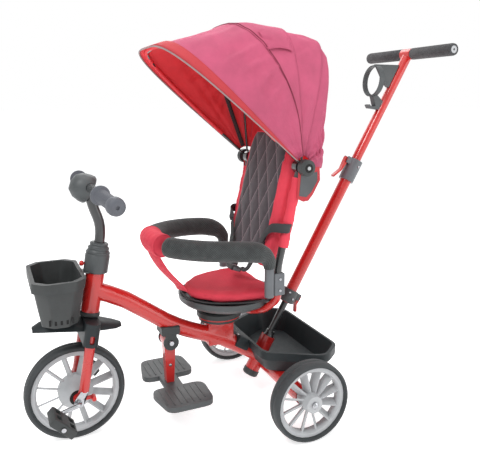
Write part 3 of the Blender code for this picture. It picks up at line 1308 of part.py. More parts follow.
def build_cup_holder():
    """A wire hoop held off the pole by a plate above and a hooked foot below."""
    def level(x, y, z):
        return (x - POLE_X, y, z - POLE_Z)

    steps = 28
    hoop_points = []
    for k in range(steps):
        a = 2 * math.pi * k / steps
        lean = 0.10
        dz = HOOP_HALF_HEIGHT * math.sin(a)
        hoop_points.append(level(HOOP_X + lean * dz, HOOP_HALF_WIDTH * math.cos(a), HOOP_Z + dz))
    rings = []
    for k in range(steps):
        here = Vector(hoop_points[k])
        ahead = Vector(hoop_points[(k + 1) % steps]) - Vector(hoop_points[k - 1])
        side = ahead.cross(Vector((1, 0, 0))).normalized()
        deep = Vector((0.008, 0, 0))
        thin = side * HOOP_WIRE / 2
        rings.append([here - deep - thin, here + deep - thin, here + deep + thin,
                      here - deep + thin])
    hoop = closed_loft(POLE_LEVEL, rings)
    top_z = HOOP_Z + HOOP_HALF_HEIGHT
    pole_x = POLE_X + (top_z - POLE_Z) * math.tan(POLE_TILT)
    front_face = INNER_RADIUS / math.cos(POLE_TILT) + GAP
    bottom_z = top_z - 0.062
    bottom_x = POLE_X + (bottom_z - POLE_Z) * math.tan(POLE_TILT)
    gusset = [(HOOP_X + 0.004, top_z + 0.004), (pole_x - front_face, top_z + 0.004),
              (bottom_x - front_face, bottom_z), (bottom_x - front_face - 0.012, bottom_z + 0.010),
              (HOOP_X + 0.012, top_z - 0.006)]
    gusset = [(x - POLE_X, z - POLE_Z) for x, z in gusset]
    plate = slab(POLE_LEVEL, gusset, 0.014, (0, 0, 0), (math.pi / 2, 0, 0))
    foot_z = HOOP_Z - HOOP_HALF_HEIGHT
    foot_x = POLE_X + (foot_z - 0.040 - POLE_Z) * math.tan(POLE_TILT) - front_face
    stalk = [(HOOP_X - 0.006, foot_z + 0.004), (HOOP_X + 0.008, foot_z + 0.004),
             (foot_x + 0.0155, foot_z - 0.016), (foot_x, foot_z - 0.040),
             (foot_x - 0.030, foot_z - 0.036), (foot_x - 0.036, foot_z - 0.026),
             (foot_x - 0.031, foot_z - 0.024), (foot_x - 0.026, foot_z - 0.030),
             (foot_x - 0.010, foot_z - 0.030)]
    stalk = [(x - POLE_X, z - POLE_Z) for x, z in stalk]
    arm = slab(POLE_LEVEL, stalk, 0.020, (0, 0, 0), (math.pi / 2, 0, 0))
    unite(hoop, plate, arm)
    pole = rod(POLE_SLIDE, (0, 0, HANDLE_RISE - 0.28), (0, 0, HANDLE_RISE - 0.03),
               INNER_RADIUS + GAP, 20)
    cut(hoop, pole)
    publish(hoop, "cup_holder", GREY, 0.35)


def closed_loft(frame, rings):
    """A skin through rings that close on themselves, like a hoop."""
    bm = bmesh.new()
    rows = [[bm.verts.new(p) for p in ring] for ring in rings]
    count = len(rows[0])
    for k in range(len(rows)):
        low = rows[k]
        high = rows[(k + 1) % len(rows)]
        for i in range(count):
            j = (i + 1) % count
            bm.faces.new((low[i], low[j], high[j], high[i]))
    return stand(read_mesh(bm), frame)


def rear_ring(inset, z, shrink=0.0):
    corners = [(REAR_FRONT_X, -REAR_FRONT_HALF), (REAR_WIDE_X, -REAR_WIDE_HALF),
               (REAR_BACK_X, -REAR_BACK_HALF), (REAR_BACK_X, REAR_BACK_HALF),
               (REAR_WIDE_X, REAR_WIDE_HALF), (REAR_FRONT_X, REAR_FRONT_HALF)]
    middle = (REAR_FRONT_X + REAR_BACK_X) / 2
    ring = []
    for x, y in rounded(corners, 0.040, 3):
        off = Vector((x - middle, y))
        off = off * (1 - (inset + shrink) / off.length)
        ring.append((middle + off.x, off.y, z))
    return ring


def build_rear_basket():
    """A shallow tub on the rear beam, with a saddle in front that grips the main tube."""
    foot = BEAM_Z + BEAM_RADIUS + GAP
    rim = REAR_RIM_Z
    wall = REAR_WALL
    band = rim - REAR_BAND
    taper = 0.024
    inset = 0.007
    rings = [rear_ring(wall, foot + wall, inset + taper), rear_ring(inset + wall, rim),
             rear_ring(0, rim), rear_ring(0, band), rear_ring(inset, band - 0.001),
             rear_ring(0, foot, inset + taper)]
    tub = loft(ROOT, rings)
    slope = math.atan2(0.197 - 0.158, 0.065)
    saddle = block(ROOT, (0.044, 0.056, 0.034), (-0.078, 0, 0.179), (0, slope, 0),
                   bevel=0.005)
    unite(tub, saddle)
    tube = pipe(ROOT, main_tube_path(SLACK), TUBE_RADIUS + GAP, 16)
    socket = rod(POLE, (0, 0, -0.05), (0, 0, SOCKET_TOP + 0.03), SOCKET_RADIUS + SLACK, 20)
    cut(tub, tube, socket)
    publish(tub, "rear_basket", BLACK, 0.45)


def build_rear_wheels():
    reach = TRACK / 2 + REAR_HUB_HALF + GAP
    bar = turned(ROOT, [(0, reach + 0.009), (0.0045, reach + 0.008), (AXLE_CAP_RADIUS, reach + 0.004),
                        (AXLE_CAP_RADIUS, reach), (REAR_AXLE_RADIUS, reach),
                        (REAR_AXLE_RADIUS, -reach), (AXLE_CAP_RADIUS, -reach),
                        (AXLE_CAP_RADIUS, -reach - 0.004), (0.0045, -reach - 0.008),
                        (0, -reach - 0.009)], 16, (0, 0, REAR_RADIUS), (0, 1, 0), closed=False)
    publish(bar, "rear_axle", CHROME, 0.2, 1.0)
    for side in (-1, 1):
        name = mirror_name("rear_wheel", side)
        axle = place_frame(name + "_axle", (0, side * TRACK / 2, REAR_RADIUS), (0, 0, 0), ROOT)
        build_wheel(axle, name, REAR_RADIUS, REAR_WIDTH, REAR_RIM_RADIUS,
                    (REAR_AXLE_RADIUS + GAP, REAR_HUB_RADIUS, REAR_HUB_HALF,
                     REAR_HUB_RADIUS - 0.003))


build_frame()
build_frame_fittings()
build_fork()
build_fender()
build_handlebar()
build_stem_lock()
build_front_basket()
build_front_wheel()
build_cranks()
build_clutch()
build_footrest()
build_seat()
build_seat_frame()
build_backrest()
build_harness()
build_safety_bar()
build_bar_cover()
build_canopy()
build_pole()
build_pole_clamps()
build_cup_holder()
build_rear_basket()
build_rear_wheels()
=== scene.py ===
"""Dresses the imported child's tricycle: fabrics, foam, tyres, finishes, light and camera."""

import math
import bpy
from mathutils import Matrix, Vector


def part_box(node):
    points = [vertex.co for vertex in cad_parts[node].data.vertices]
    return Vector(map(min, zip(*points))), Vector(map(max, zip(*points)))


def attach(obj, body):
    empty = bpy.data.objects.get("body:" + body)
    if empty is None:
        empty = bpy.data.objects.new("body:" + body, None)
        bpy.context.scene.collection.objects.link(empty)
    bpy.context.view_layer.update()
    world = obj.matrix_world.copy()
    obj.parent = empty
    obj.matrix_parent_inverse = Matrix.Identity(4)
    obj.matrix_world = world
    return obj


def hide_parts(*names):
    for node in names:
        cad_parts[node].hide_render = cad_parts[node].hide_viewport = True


bl_info = {
    "name": "Tricycle dressing",
    "version": (1, 0, 0),
    "blender": (4, 5, 0),
    "location": "View3D > Sidebar > Tricycle",
    "description": "Adds the soft goods, finishes and studio of a child's tricycle",
    "category": "Object",
}

import bmesh
import bpy
from bpy.props import FloatProperty, FloatVectorProperty, PointerProperty
from bpy.types import NodeSocket, Operator, Panel, PropertyGroup
from mathutils import Matrix, Vector

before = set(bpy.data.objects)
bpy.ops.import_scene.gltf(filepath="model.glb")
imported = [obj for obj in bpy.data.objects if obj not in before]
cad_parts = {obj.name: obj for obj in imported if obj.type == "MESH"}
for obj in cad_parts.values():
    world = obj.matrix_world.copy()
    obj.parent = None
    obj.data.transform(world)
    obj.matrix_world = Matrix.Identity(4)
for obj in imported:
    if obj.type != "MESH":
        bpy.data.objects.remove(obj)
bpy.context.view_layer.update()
SIDES = ((-1, "left"), (1, "right"))

# Places in the row frame, in metres
AXLE_X = 0.0858
SWIVEL_X = AXLE_X - 0.143
HUB = Vector((AXLE_X + 0.020, 0.0, 0.689))
HEAD = Vector((AXLE_X - 0.493324, 0.0, 0.332216))
STEER_TURN = Matrix.Rotation(math.radians(10), 3, "Y")
POLE = Vector((AXLE_X - 0.034, 0.0, 0.095))
POLE_TURN = Matrix.Rotation(math.radians(29.6), 3, "Y")
FRONT_AXLE = Vector((AXLE_X - 0.539, 0.0, 0.125))
REAR_AXLE = Vector((AXLE_X, 0.0, 0.105))
HALF_TRACK = 0.2575
BACK_LEAN = math.atan2(0.058, 0.25)
ARM_X = AXLE_X - 0.038

# Colours that the settings don't hold, linear
NEAR_BLACK = (0.022, 0.023, 0.024)
DEEP_GREY = (0.020, 0.025, 0.027)
MID_GREY = (0.055, 0.061, 0.063)
WARM_GREY = (0.115, 0.122, 0.132)
STEEL = (0.44, 0.45, 0.47)
QUILT_GREY = (0.038, 0.032, 0.038)
QUILT_TINT = (0.066, 0.055, 0.064)
QUILT_THREAD = (0.30, 0.20, 0.23, 1.0)
BLACK = (0.0, 0.0, 0.0, 1.0)


class TricycleSettings(PropertyGroup):
    """The sizes, colours and lights that a user would change"""
    paint_colour: FloatVectorProperty(
        name="Paint", description="Enamel of the red tubes and levers",
        default=(0.54, 0.016, 0.013), subtype="COLOR", min=0.0, max=1.0)
    seat_colour: FloatVectorProperty(
        name="Seat fabric", description="Cloth of the seat, backrest and bar cover",
        default=(0.72, 0.046, 0.078), subtype="COLOR", min=0.0, max=1.0)
    canopy_colour: FloatVectorProperty(
        name="Canopy fabric", description="Outer cloth of the canopy",
        default=(0.44, 0.070, 0.140), subtype="COLOR", min=0.0, max=1.0)
    # Painted light: the lining is the hem's red cloth made brighter, to lift the canopy's shaded
    # inside.
    lining_colour_painted_light: FloatVectorProperty(
        name="Canopy lining", description="Inner side of the canopy",
        default=(0.74, 0.044, 0.056), subtype="COLOR", min=0.0, max=1.0)
    plastic_colour: FloatVectorProperty(
        name="Dark plastic", description="Front basket, pedals, turntable and knobs",
        default=(0.034, 0.037, 0.037), subtype="COLOR", min=0.0, max=1.0)
    rim_colour: FloatVectorProperty(
        name="Rims", description="Moulded plastic of the wheels",
        default=(0.42, 0.43, 0.44), subtype="COLOR", min=0.0, max=1.0)
    tyre_colour: FloatVectorProperty(
        name="Tyres", description="Foam rubber of the tyres",
        default=(0.041, 0.045, 0.047), subtype="COLOR", min=0.0, max=1.0)
    quilt_width: FloatProperty(
        name="Quilt width", description="Width of one diamond on the backrest",
        default=0.058, min=0.01, max=0.2, unit="LENGTH")
    quilt_height: FloatProperty(
        name="Quilt height", description="Height of one diamond on the backrest",
        default=0.105, min=0.01, max=0.3, unit="LENGTH")
    foam_radius: FloatProperty(
        name="Bar foam radius", description="Outer radius of the safety bar's foam",
        default=0.026, min=0.018, max=0.029, unit="LENGTH")
    strap_width: FloatProperty(
        name="Strap width", description="Width of the harness webbing",
        default=0.024, min=0.01, max=0.04, unit="LENGTH")
    cloth_thickness: FloatProperty(
        name="Canopy cloth", description="Thickness of the canopy's cloth with its lining",
        default=0.0012, min=0.0004, max=0.003, unit="LENGTH")
    sky_strength: FloatProperty(
        name="Sky strength", description="Soft light from all sides",
        default=0.40, min=0.0, max=4.0)
    key_power: FloatProperty(
        name="Key power", description="Power of the main lamp",
        default=47.0, min=0.0, max=500.0, unit="POWER")
    eye: FloatVectorProperty(
        name="Camera place", description="Where the photograph was taken",
        default=(AXLE_X - 0.7052, -1.4062, 0.8487), subtype="TRANSLATION")


# Node groups

GROUPS = {}


def add_node(tree, kind, inputs=None, **options):
    """A shader node with its options, and a value or a link for each input that is named."""
    node = tree.nodes.new("ShaderNode" + kind)
    for option, value in options.items():
        setattr(node, option, value)
    for key, value in (inputs or {}).items():
        if isinstance(value, NodeSocket):
            tree.links.new(value, node.inputs[key])
        else:
            node.inputs[key].default_value = value
    return node


def math_node(tree, operation, *values):
    return add_node(tree, "Math", dict(enumerate(values)), operation=operation).outputs[0]


def colour_mix(tree, factor, first, second, **options):
    inputs = {"Factor": factor, "A": first, "B": second}
    return add_node(tree, "Mix", inputs, data_type="RGBA", **options).outputs["Result"]


def effect_group(name, inputs, outputs):
    """An empty group: each input with its default, where a colour has four numbers."""
    group = bpy.data.node_groups.new(name, "ShaderNodeTree")
    for label, default in inputs.items():
        kind = "NodeSocketFloat" if isinstance(default, float) else "NodeSocketColor"
        socket = group.interface.new_socket(label, in_out="INPUT", socket_type=kind)
        socket.default_value = default
    for label in outputs:
        kind = "NodeSocketColor" if label == "Colour" else "NodeSocketFloat"
        group.interface.new_socket(label, in_out="OUTPUT", socket_type=kind)
    GROUPS[name] = group
    start = group.nodes.new("NodeGroupInput")
    end = group.nodes.new("NodeGroupOutput")
    return group, start.outputs, end.inputs


def mottle_group():
    """Two tones mixed by soft noise."""
    group, given, result = effect_group(
        "Mottle", {"Base": BLACK, "Tint": BLACK, "Scale": 30.0, "Share": 0.5}, ("Colour", "Mask"))
    place = add_node(group, "TexCoord").outputs["Object"]
    cloud = add_node(group, "TexNoise", {"Vector": place, "Scale": given["Scale"],
                                         "Detail": 5.0, "Roughness": 0.6})
    spread = add_node(group, "MapRange", {"Value": cloud.outputs["Fac"], "From Min": 0.35,
                                          "From Max": 0.68}).outputs["Result"]
    share = math_node(group, "MULTIPLY", spread, given["Share"])
    group.links.new(colour_mix(group, share, given["Base"], given["Tint"]), result["Colour"])
    group.links.new(spread, result["Mask"])


def grain_group():
    """Moulded grain: a fine pebble height and a slow waviness."""
    group, given, result = effect_group("Grain", {"Scale": 700.0}, ("Height",))
    place = add_node(group, "TexCoord").outputs["Object"]
    pebble = add_node(group, "TexVoronoi", {"Vector": place, "Scale": given["Scale"]})
    slow = math_node(group, "MULTIPLY", given["Scale"], 0.25)
    cloud = add_node(group, "TexNoise", {"Vector": place, "Scale": slow, "Detail": 3.0})
    total = math_node(group, "ADD", pebble.outputs["Distance"], cloud.outputs["Fac"])
    group.links.new(total, result["Height"])


def mapped_axes(group):
    """The X and Y of the piece's own map, in metres."""
    place = add_node(group, "UVMap", uv_map="UVMap").outputs["UV"]
    parts = add_node(group, "SeparateXYZ", {"Vector": place}).outputs
    return parts["X"], parts["Y"]


def weave_group():
    """Over and under threads on the fabric's own map."""
    group, given, result = effect_group("Weave", {"Pitch": 900.0}, ("Height", "Gap"))
    waves = []
    for axis in mapped_axes(group):
        wave = math_node(group, "SINE", math_node(group, "MULTIPLY", axis, given["Pitch"]))
        waves.append(math_node(group, "MULTIPLY", wave, 0.5))
    product = math_node(group, "MULTIPLY", waves[0], waves[1])
    group.links.new(math_node(group, "MULTIPLY", product, 2.0), result["Height"])
    # The Gap mask marks the cells where the foam gets painted shade.
    group.links.new(math_node(group, "GREATER_THAN", product, 0.05), result["Gap"])


def diamond_group():
    """Quilting lines in tall diamonds: a line mask and a pillow height."""
    group, given, result = effect_group("Diamonds", {"Width": 0.058, "Tall": 0.105},
                                        ("Line", "Height"))
    x, y = mapped_axes(group)
    across = math_node(group, "DIVIDE", x, given["Width"])
    along = math_node(group, "DIVIDE", y, given["Tall"])
    lines = []
    for operation in ("ADD", "SUBTRACT"):
        total = math_node(group, operation, across, along)
        wave = math_node(group, "SINE", math_node(group, "MULTIPLY", total, math.pi))
        lines.append(math_node(group, "ABSOLUTE", wave))
    low = math_node(group, "MINIMUM", lines[0], lines[1])
    group.links.new(math_node(group, "LESS_THAN", low, 0.050), result["Line"])
    group.links.new(math_node(group, "SQRT", low), result["Height"])


def use_group(tree, name, **values):
    return add_node(tree, "Group", values, node_tree=GROUPS[name]).outputs


# Materials

MATERIALS = {}


def base_material(name, colour, roughness, metallic=0.0, coat=0.0, sheen=0.0, gleam=0.5):
    """A new material with these plain values on its shader: its tree and shader's inputs."""
    made = bpy.data.materials.new(name)
    made.use_nodes = True
    shader = made.node_tree.nodes["Principled BSDF"].inputs
    for socket, value in (("Base Color", (*colour, 1.0)), ("Roughness", roughness),
                          ("Metallic", metallic), ("Specular IOR Level", gleam),
                          ("Coat Weight", coat), ("Coat Roughness", 0.06),
                          ("Sheen Weight", sheen), ("Sheen Roughness", 0.45)):
        shader[socket].default_value = value
    MATERIALS[name] = made
    return made.node_tree, shader


def add_mottle(tree, shader, colour, tint, scale, share):
    """Colour that drifts towards a tint, with its mask for what follows."""
    mottle = use_group(tree, "Mottle", Base=(*colour, 1.0), Tint=(*tint, 1.0), Scale=scale,
                       Share=share)
    tree.links.new(mottle["Colour"], shader["Base Color"])
    return mottle


def add_roughness(tree, shader, mottle, low, high):
    """Roughness that drifts with the colour."""
    spread = add_node(tree, "MapRange", {"Value": mottle["Mask"], "To Min": low, "To Max": high})
    tree.links.new(spread.outputs["Result"], shader["Roughness"])


def add_bump(tree, shader, height, distance, strength=1.0):
    bump = add_node(tree, "Bump", {"Distance": distance, "Strength": strength,
                                   "Height": height})
    tree.links.new(bump.outputs["Normal"], shader["Normal"])


def shade(colour, factor):
    return tuple(min(1.0, channel * factor) for channel in colour)


def paint(name, colour):
    """Gloss enamel: a clear coat over slightly uneven colour."""
    tree, shader = base_material(name, colour, 0.28, coat=0.5)
    mottle = add_mottle(tree, shader, colour, shade(colour, 1.08), 18.0, 0.25)
    add_roughness(tree, shader, mottle, 0.24, 0.34)
    add_bump(tree, shader, use_group(tree, "Grain", Scale=260.0)["Height"], 0.00001, 0.3)


def plastic(name, colour, roughness, grain=900.0, depth=0.00008, tint=1.5, gleam=0.5):
    """Moulded plastic or rubber with a fine grain."""
    tree, shader = base_material(name, colour, roughness, gleam=gleam)
    mottle = add_mottle(tree, shader, colour, shade(colour, tint), 35.0, 0.5)
    add_roughness(tree, shader, mottle, roughness - 0.06, roughness + 0.10)
    add_bump(tree, shader, use_group(tree, "Grain", Scale=grain)["Height"], depth)


def bright_metal(name):
    """Plated steel, a little worn in patches."""
    tree, shader = base_material(name, STEEL, 0.22, metallic=1.0)
    mottle = add_mottle(tree, shader, STEEL, shade(STEEL, 0.75), 60.0, 0.6)
    add_roughness(tree, shader, mottle, 0.16, 0.34)


def foam(name, colour, pitch=1092.0):
    """Dense foam with a small, even, woven looking skin, with painted shade in its weave's gaps.
    """
    tree, shader = base_material(name, colour, 0.85, sheen=0.22, gleam=0.30)
    mottle = add_mottle(tree, shader, colour, shade(colour, 1.9), 55.0, 0.6)
    weave = use_group(tree, "Weave", Pitch=pitch)
    # Painted shade: the colour is multiplied by 0.45 in the weave's gap cells.
    gap_shaded = colour_mix(tree, weave["Gap"], mottle["Colour"], (0.45, 0.45, 0.45, 1.0),
                      blend_type="MULTIPLY")
    tree.links.new(gap_shaded, shader["Base Color"])
    add_bump(tree, shader, weave["Height"], 0.0006)


def fabric(name, colour, pitch=3600.0, sheen=0.35, tint=1.18, depth=0.00025):
    """Plain woven polyester: fine threads, a soft sheen and faint tonal patches."""
    tree, shader = base_material(name, colour, 0.72, sheen=sheen)
    shader["Sheen Tint"].default_value = (*shade(colour, 1.6), 1.0)
    add_mottle(tree, shader, colour, shade(colour, tint), 16.0, 0.7)
    add_bump(tree, shader, use_group(tree, "Weave", Pitch=pitch)["Height"], depth)


def quilt(name, width, height):
    """Dark grey padded fabric stitched in diamonds with a greyish pink thread."""
    tree, shader = base_material(name, QUILT_GREY, 0.8, sheen=0.25)
    mottle = add_mottle(tree, shader, QUILT_GREY, QUILT_TINT, 60.0, 0.7)
    lines = use_group(tree, "Diamonds", Width=width, Tall=height)
    stitched = colour_mix(tree, lines["Line"], mottle["Colour"], QUILT_THREAD)
    tree.links.new(stitched, shader["Base Color"])
    add_bump(tree, shader, lines["Height"], 0.0025, 0.8)


def make_materials(settings):
    for make_group in (mottle_group, grain_group, weave_group, diamond_group):
        make_group()
    paint("paint_red", settings.paint_colour)
    paint("paint_black", NEAR_BLACK)
    bright_metal("chrome")
    plastic("black_plastic", settings.plastic_colour, 0.5, tint=1.6, gleam=0.38)
    plastic("deep_plastic", DEEP_GREY, 0.45, tint=1.5, gleam=0.22)
    plastic("mid_plastic", MID_GREY, 0.46, tint=1.4)
    plastic("grey_plastic", WARM_GREY, 0.42, tint=1.35)
    plastic("red_plastic", settings.paint_colour, 0.32, grain=500.0, depth=0.00003, tint=1.2)
    plastic("rim_plastic", settings.rim_colour, 0.48, grain=600.0, depth=0.00005, tint=1.25)
    plastic("tyre_rubber", settings.tyre_colour, 0.58, grain=1400.0, depth=0.00016, tint=1.6,
            gleam=0.30)
    plastic("grip_rubber", (0.085, 0.090, 0.105), 0.55, depth=0.0001)
    # Painted shade: a near-black matte for the front hub's dish, the canopy hubs' eyes and the
    # basket's slots.
    plastic("painted_hollow_shade", (0.008, 0.008, 0.008), 0.9)
    foam("grip_foam", (0.050, 0.051, 0.053), pitch=2340.0)
    foam("bar_foam", (0.044, 0.048, 0.048))
    fabric("seat_fabric", settings.seat_colour)
    fabric("canopy_fabric", settings.canopy_colour, 3000.0, sheen=0.5, tint=1.3, depth=0.0002)
    # Painted light: the lining's colour is brighter than the hem's, which is the same cloth, to
    # lift the shaded inside.
    fabric("canopy_lining_painted_light", settings.lining_colour_painted_light, 3000.0, sheen=0.3)
    # The hem's red is the lining's cloth without painted light.
    fabric("hem_fabric", (0.47, 0.036, 0.046), 3000.0, sheen=0.3)
    fabric("edge_piping", (0.30, 0.22, 0.22), 5000.0)
    fabric("dark_band", (0.030, 0.030, 0.032), 2600.0)
    fabric("mid_fabric", (0.090, 0.095, 0.100), 3400.0, sheen=0.3)
    fabric("seam_thread", (0.21, 0.022, 0.050), 5000.0)
    fabric("webbing", (0.028, 0.029, 0.031), 1900.0, sheen=0.2, tint=1.6, depth=0.0005)
    quilt("quilted_panel", settings.quilt_width, settings.quilt_height)


def dress(obj, name):
    """Gives a piece one of the finishes as its only material."""
    if name not in MATERIALS:
        raise RuntimeError(f"{name} isn't made yet: the finishes come first")
    obj.data.materials.clear()
    obj.data.materials.append(MATERIALS[name])


# Mesh tools

def new_object(name, bm, material, body, smooth=True):
    """A piece from mesh code: named, dressed, smooth by angle and riding on its body."""
    mesh = bpy.data.meshes.new(name)
    bm.to_mesh(mesh)
    bm.free()
    obj = bpy.data.objects.new(name, mesh)
    bpy.context.scene.collection.objects.link(obj)
    if smooth:
        mesh.shade_smooth()
        mesh.set_sharp_from_angle(angle=math.radians(50))
    if material:
        dress(obj, material)
    if body:
        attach(obj, body)
    return obj


def strip(bm, rows, closed=False, maps=None):
    """Quads between rows of points, capped if closed, with a map in metres or the one given."""
    layer = bm.loops.layers.uv.new("UVMap")
    grid = [[bm.verts.new(p) for p in row] for row in rows]
    count = len(grid[0])
    along = [0.0]
    for low, high in zip(rows, rows[1:]):
        middle = count // 2
        along.append(along[-1] + (Vector(high[middle]) - Vector(low[middle])).length)
    for r in range(len(rows) - 1):
        across = 0.0
        for i in range(count if closed else count - 1):
            j = (i + 1) % count
            wide = (Vector(rows[r][j]) - Vector(rows[r][i])).length
            face = bm.faces.new((grid[r][i], grid[r][j], grid[r + 1][j], grid[r + 1][i]))
            spots = ((across, along[r]), (across + wide, along[r]),
                     (across + wide, along[r + 1]), (across, along[r + 1]))
            if maps:
                spots = (maps[r][i], maps[r][j], maps[r + 1][j], maps[r + 1][i])
            for loop, spot in zip(face.loops, spots):
                loop[layer].uv = spot
            across += wide
    if closed:
        bm.faces.new(grid[0][::-1])
        bm.faces.new(grid[-1])


def swept(name, rows, material, body):
    """A closed skin over rows of points."""
    bm = bmesh.new()
    strip(bm, rows, closed=True)
    bmesh.ops.recalc_face_normals(bm, faces=bm.faces)
    return new_object(name, bm, material, body)


def tube(name, path, radius, material, body, sides=20):
    """A sweep along a path. The radius may be a list."""
    spots = [Vector(p) for p in path]
    radii = radius if isinstance(radius, list) else [radius] * len(spots)
    rows = []
    side = None
    for i, spot in enumerate(spots):
        along = (spots[min(i + 1, len(spots) - 1)] - spots[max(i - 1, 0)]).normalized()
        if side is None:
            side = along.orthogonal().normalized()
        side = (side - along * side.dot(along)).normalized()
        up = along.cross(side)
        turns = [2 * math.pi * k / sides for k in range(sides)]
        rows.append([spot + (side * math.cos(a) + up * math.sin(a)) * radii[i] for a in turns])
    return swept(name, rows, material, body)


def ribbon(name, path, width, thick, across, material, body):
    """A flat strap with rounded edges, its width along a direction at each point."""
    spots = [Vector(p) for p in path]
    rows = []
    for i, spot in enumerate(spots):
        along = spots[min(i + 1, len(spots) - 1)] - spots[max(i - 1, 0)]
        side = Vector(across[i] if isinstance(across, list) else across)
        side = (side - along.normalized() * side.dot(along.normalized())).normalized()
        up = along.cross(side).normalized()
        a = side * width / 2
        b = up * thick / 2
        inner = 1 - thick / width
        rows.append([spot - a, spot - a * inner - b, spot + a * inner - b, spot + a,
                     spot + a * inner + b, spot - a * inner + b])
    return swept(name, rows, material, body)


def lathe(name, profile, centre, aim, material, body, steps=48):
    """A closed turned body from (radius, height) points."""
    turn = Vector(aim).to_track_quat("Z", "Y").to_matrix()
    rows = []
    for k in range(steps + 1):
        a = 2 * math.pi * k / steps
        rows.append([Vector(centre) + turn @ Vector((r * math.cos(a), r * math.sin(a), h))
                     for r, h in profile])
    bm = bmesh.new()
    strip(bm, rows)
    bmesh.ops.remove_doubles(bm, verts=bm.verts, dist=1e-6)
    bmesh.ops.recalc_face_normals(bm, faces=bm.faces)
    return new_object(name, bm, material, body)


def ring_section(inner, outer, low, high, bulge):
    """A ring's section for the lathe: flat inside, with a small bulge outside."""
    return [(inner, low), (outer, low), (outer + bulge, (low + high) / 2), (outer, high),
            (inner, high), (inner, low)]


def rounded_block(name, centre, size, material, body, radius, ahead=(1, 0, 0), across=(0, 1, 0)):
    """A small moulded block with rounded edges, turned to two directions."""
    first = Vector(ahead).normalized()
    second = (Vector(across) - first * Vector(across).dot(first)).normalized()
    turn = Matrix((first, second, first.cross(second))).transposed().to_4x4()
    bm = bmesh.new()
    bmesh.ops.create_cube(bm, size=1.0, matrix=Matrix.Translation(centre) @ turn
                          @ Matrix.Diagonal((*size, 1.0)))
    bmesh.ops.bevel(bm, geom=bm.edges, offset=radius, segments=3, affect="EDGES", profile=0.6)
    return new_object(name, bm, material, body)


def flap(name, outline, material, y, body, thick):
    """A flat upright patch from its outline in x and z."""
    bm = bmesh.new()
    near = [bm.verts.new((AXLE_X + x, y - thick / 2, z)) for x, z in outline]
    far = [bm.verts.new((AXLE_X + x, y + thick / 2, z)) for x, z in outline]
    bm.faces.new(near)
    bm.faces.new(far[::-1])
    for k in range(len(outline)):
        j = (k + 1) % len(outline)
        bm.faces.new((near[k], far[k], far[j], near[j]))
    bmesh.ops.triangulate(bm, faces=bm.faces)
    bmesh.ops.recalc_face_normals(bm, faces=bm.faces)
    obj = new_object(name, bm, material, body, smooth=False)
    box_map(obj)


def thicken(obj, name, thickness, offset=0.0):
    shell = obj.modifiers.new(name, "SOLIDIFY")
    shell.thickness = thickness
    shell.offset = offset
    return shell


def flowing(points, steps=6):
    """A smooth line through every point."""
    spots = [Vector(p) for p in points]
    ends = [spots[0] * 2 - spots[1]] + spots + [spots[-1] * 2 - spots[-2]]
    path = []
    for a, b, c, d in zip(ends, ends[1:], ends[2:], ends[3:]):
        for k in range(steps):
            t = k / steps
            path.append(0.5 * ((2 * b) + (c - a) * t + (2 * a - 5 * b + 4 * c - d) * t ** 2
                               + (3 * b - a - 3 * c + d) * t ** 3))
    path.append(spots[-1])
    return path


def run_of(points):
    """The length of a line through its points."""
    return sum((b - a).length for a, b in zip(points, points[1:]))


def steer_point(x, y, z):
    """From the steering axis's own directions to the row frame."""
    return HEAD + STEER_TURN @ Vector((x, y, z))


def pole_point(x, y, s):
    """From the push handle's own directions to the row frame."""
    return POLE + POLE_TURN @ Vector((x, y, s))


def cad_node(name):
    """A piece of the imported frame."""
    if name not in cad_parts:
        raise RuntimeError(f"the packed frame has no piece named {name}")
    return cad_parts[name]


# Soft covers

CLOTH_FRAMES = 20
CLOTH_PRESSURE = 3.0
COVER_GRAIN = 0.005


def bake_modifiers(obj):
    """Turns what the modifiers make into the piece's own mesh."""
    bpy.context.view_layer.update()
    depsgraph = bpy.context.evaluated_depsgraph_get()
    mesh = bpy.data.meshes.new_from_object(obj.evaluated_get(depsgraph))
    old = obj.data
    obj.modifiers.clear()
    obj.data = mesh
    bpy.data.meshes.remove(old)


def copy_node(node, name, shrink):
    """A free copy of a CAD node's mesh, drawn in by a small distance."""
    bm = bmesh.new()
    bm.from_mesh(cad_node(node).data)
    bmesh.ops.remove_doubles(bm, verts=bm.verts, dist=1e-5)
    bmesh.ops.recalc_face_normals(bm, faces=bm.faces)
    bm.normal_update()
    for vertex in bm.verts:
        vertex.co -= vertex.normal * shrink
    return new_object(name, bm, None, None)


def swell(obj, cap):
    """Inflates a closed shape as cloth, limits how far it moves and smooths it."""
    rest_shape = obj.modifiers.new("remesh", "REMESH")
    rest_shape.mode = "VOXEL"
    rest_shape.voxel_size = COVER_GRAIN
    bake_modifiers(obj)
    start = [v.co.copy() for v in obj.data.vertices]
    cloth = obj.modifiers.new("cloth", "CLOTH")
    cloth.settings.use_pressure = True
    cloth.settings.uniform_pressure_force = CLOTH_PRESSURE
    cloth.settings.effector_weights.gravity = 0.0
    cloth.settings.quality = 5
    cloth.point_cache.frame_start = 1
    cloth.point_cache.frame_end = CLOTH_FRAMES
    for step in range(1, CLOTH_FRAMES + 1):
        bpy.context.scene.frame_set(step)
    bake_modifiers(obj)
    bpy.context.scene.frame_set(1)
    for vertex, home in zip(obj.data.vertices, start):
        move = vertex.co - home
        if move.length > cap:
            vertex.co = home + move.normalized() * cap
    smoothing = obj.modifiers.new("smooth", "SMOOTH")
    smoothing.factor = 0.5
    smoothing.iterations = 4
    bake_modifiers(obj)


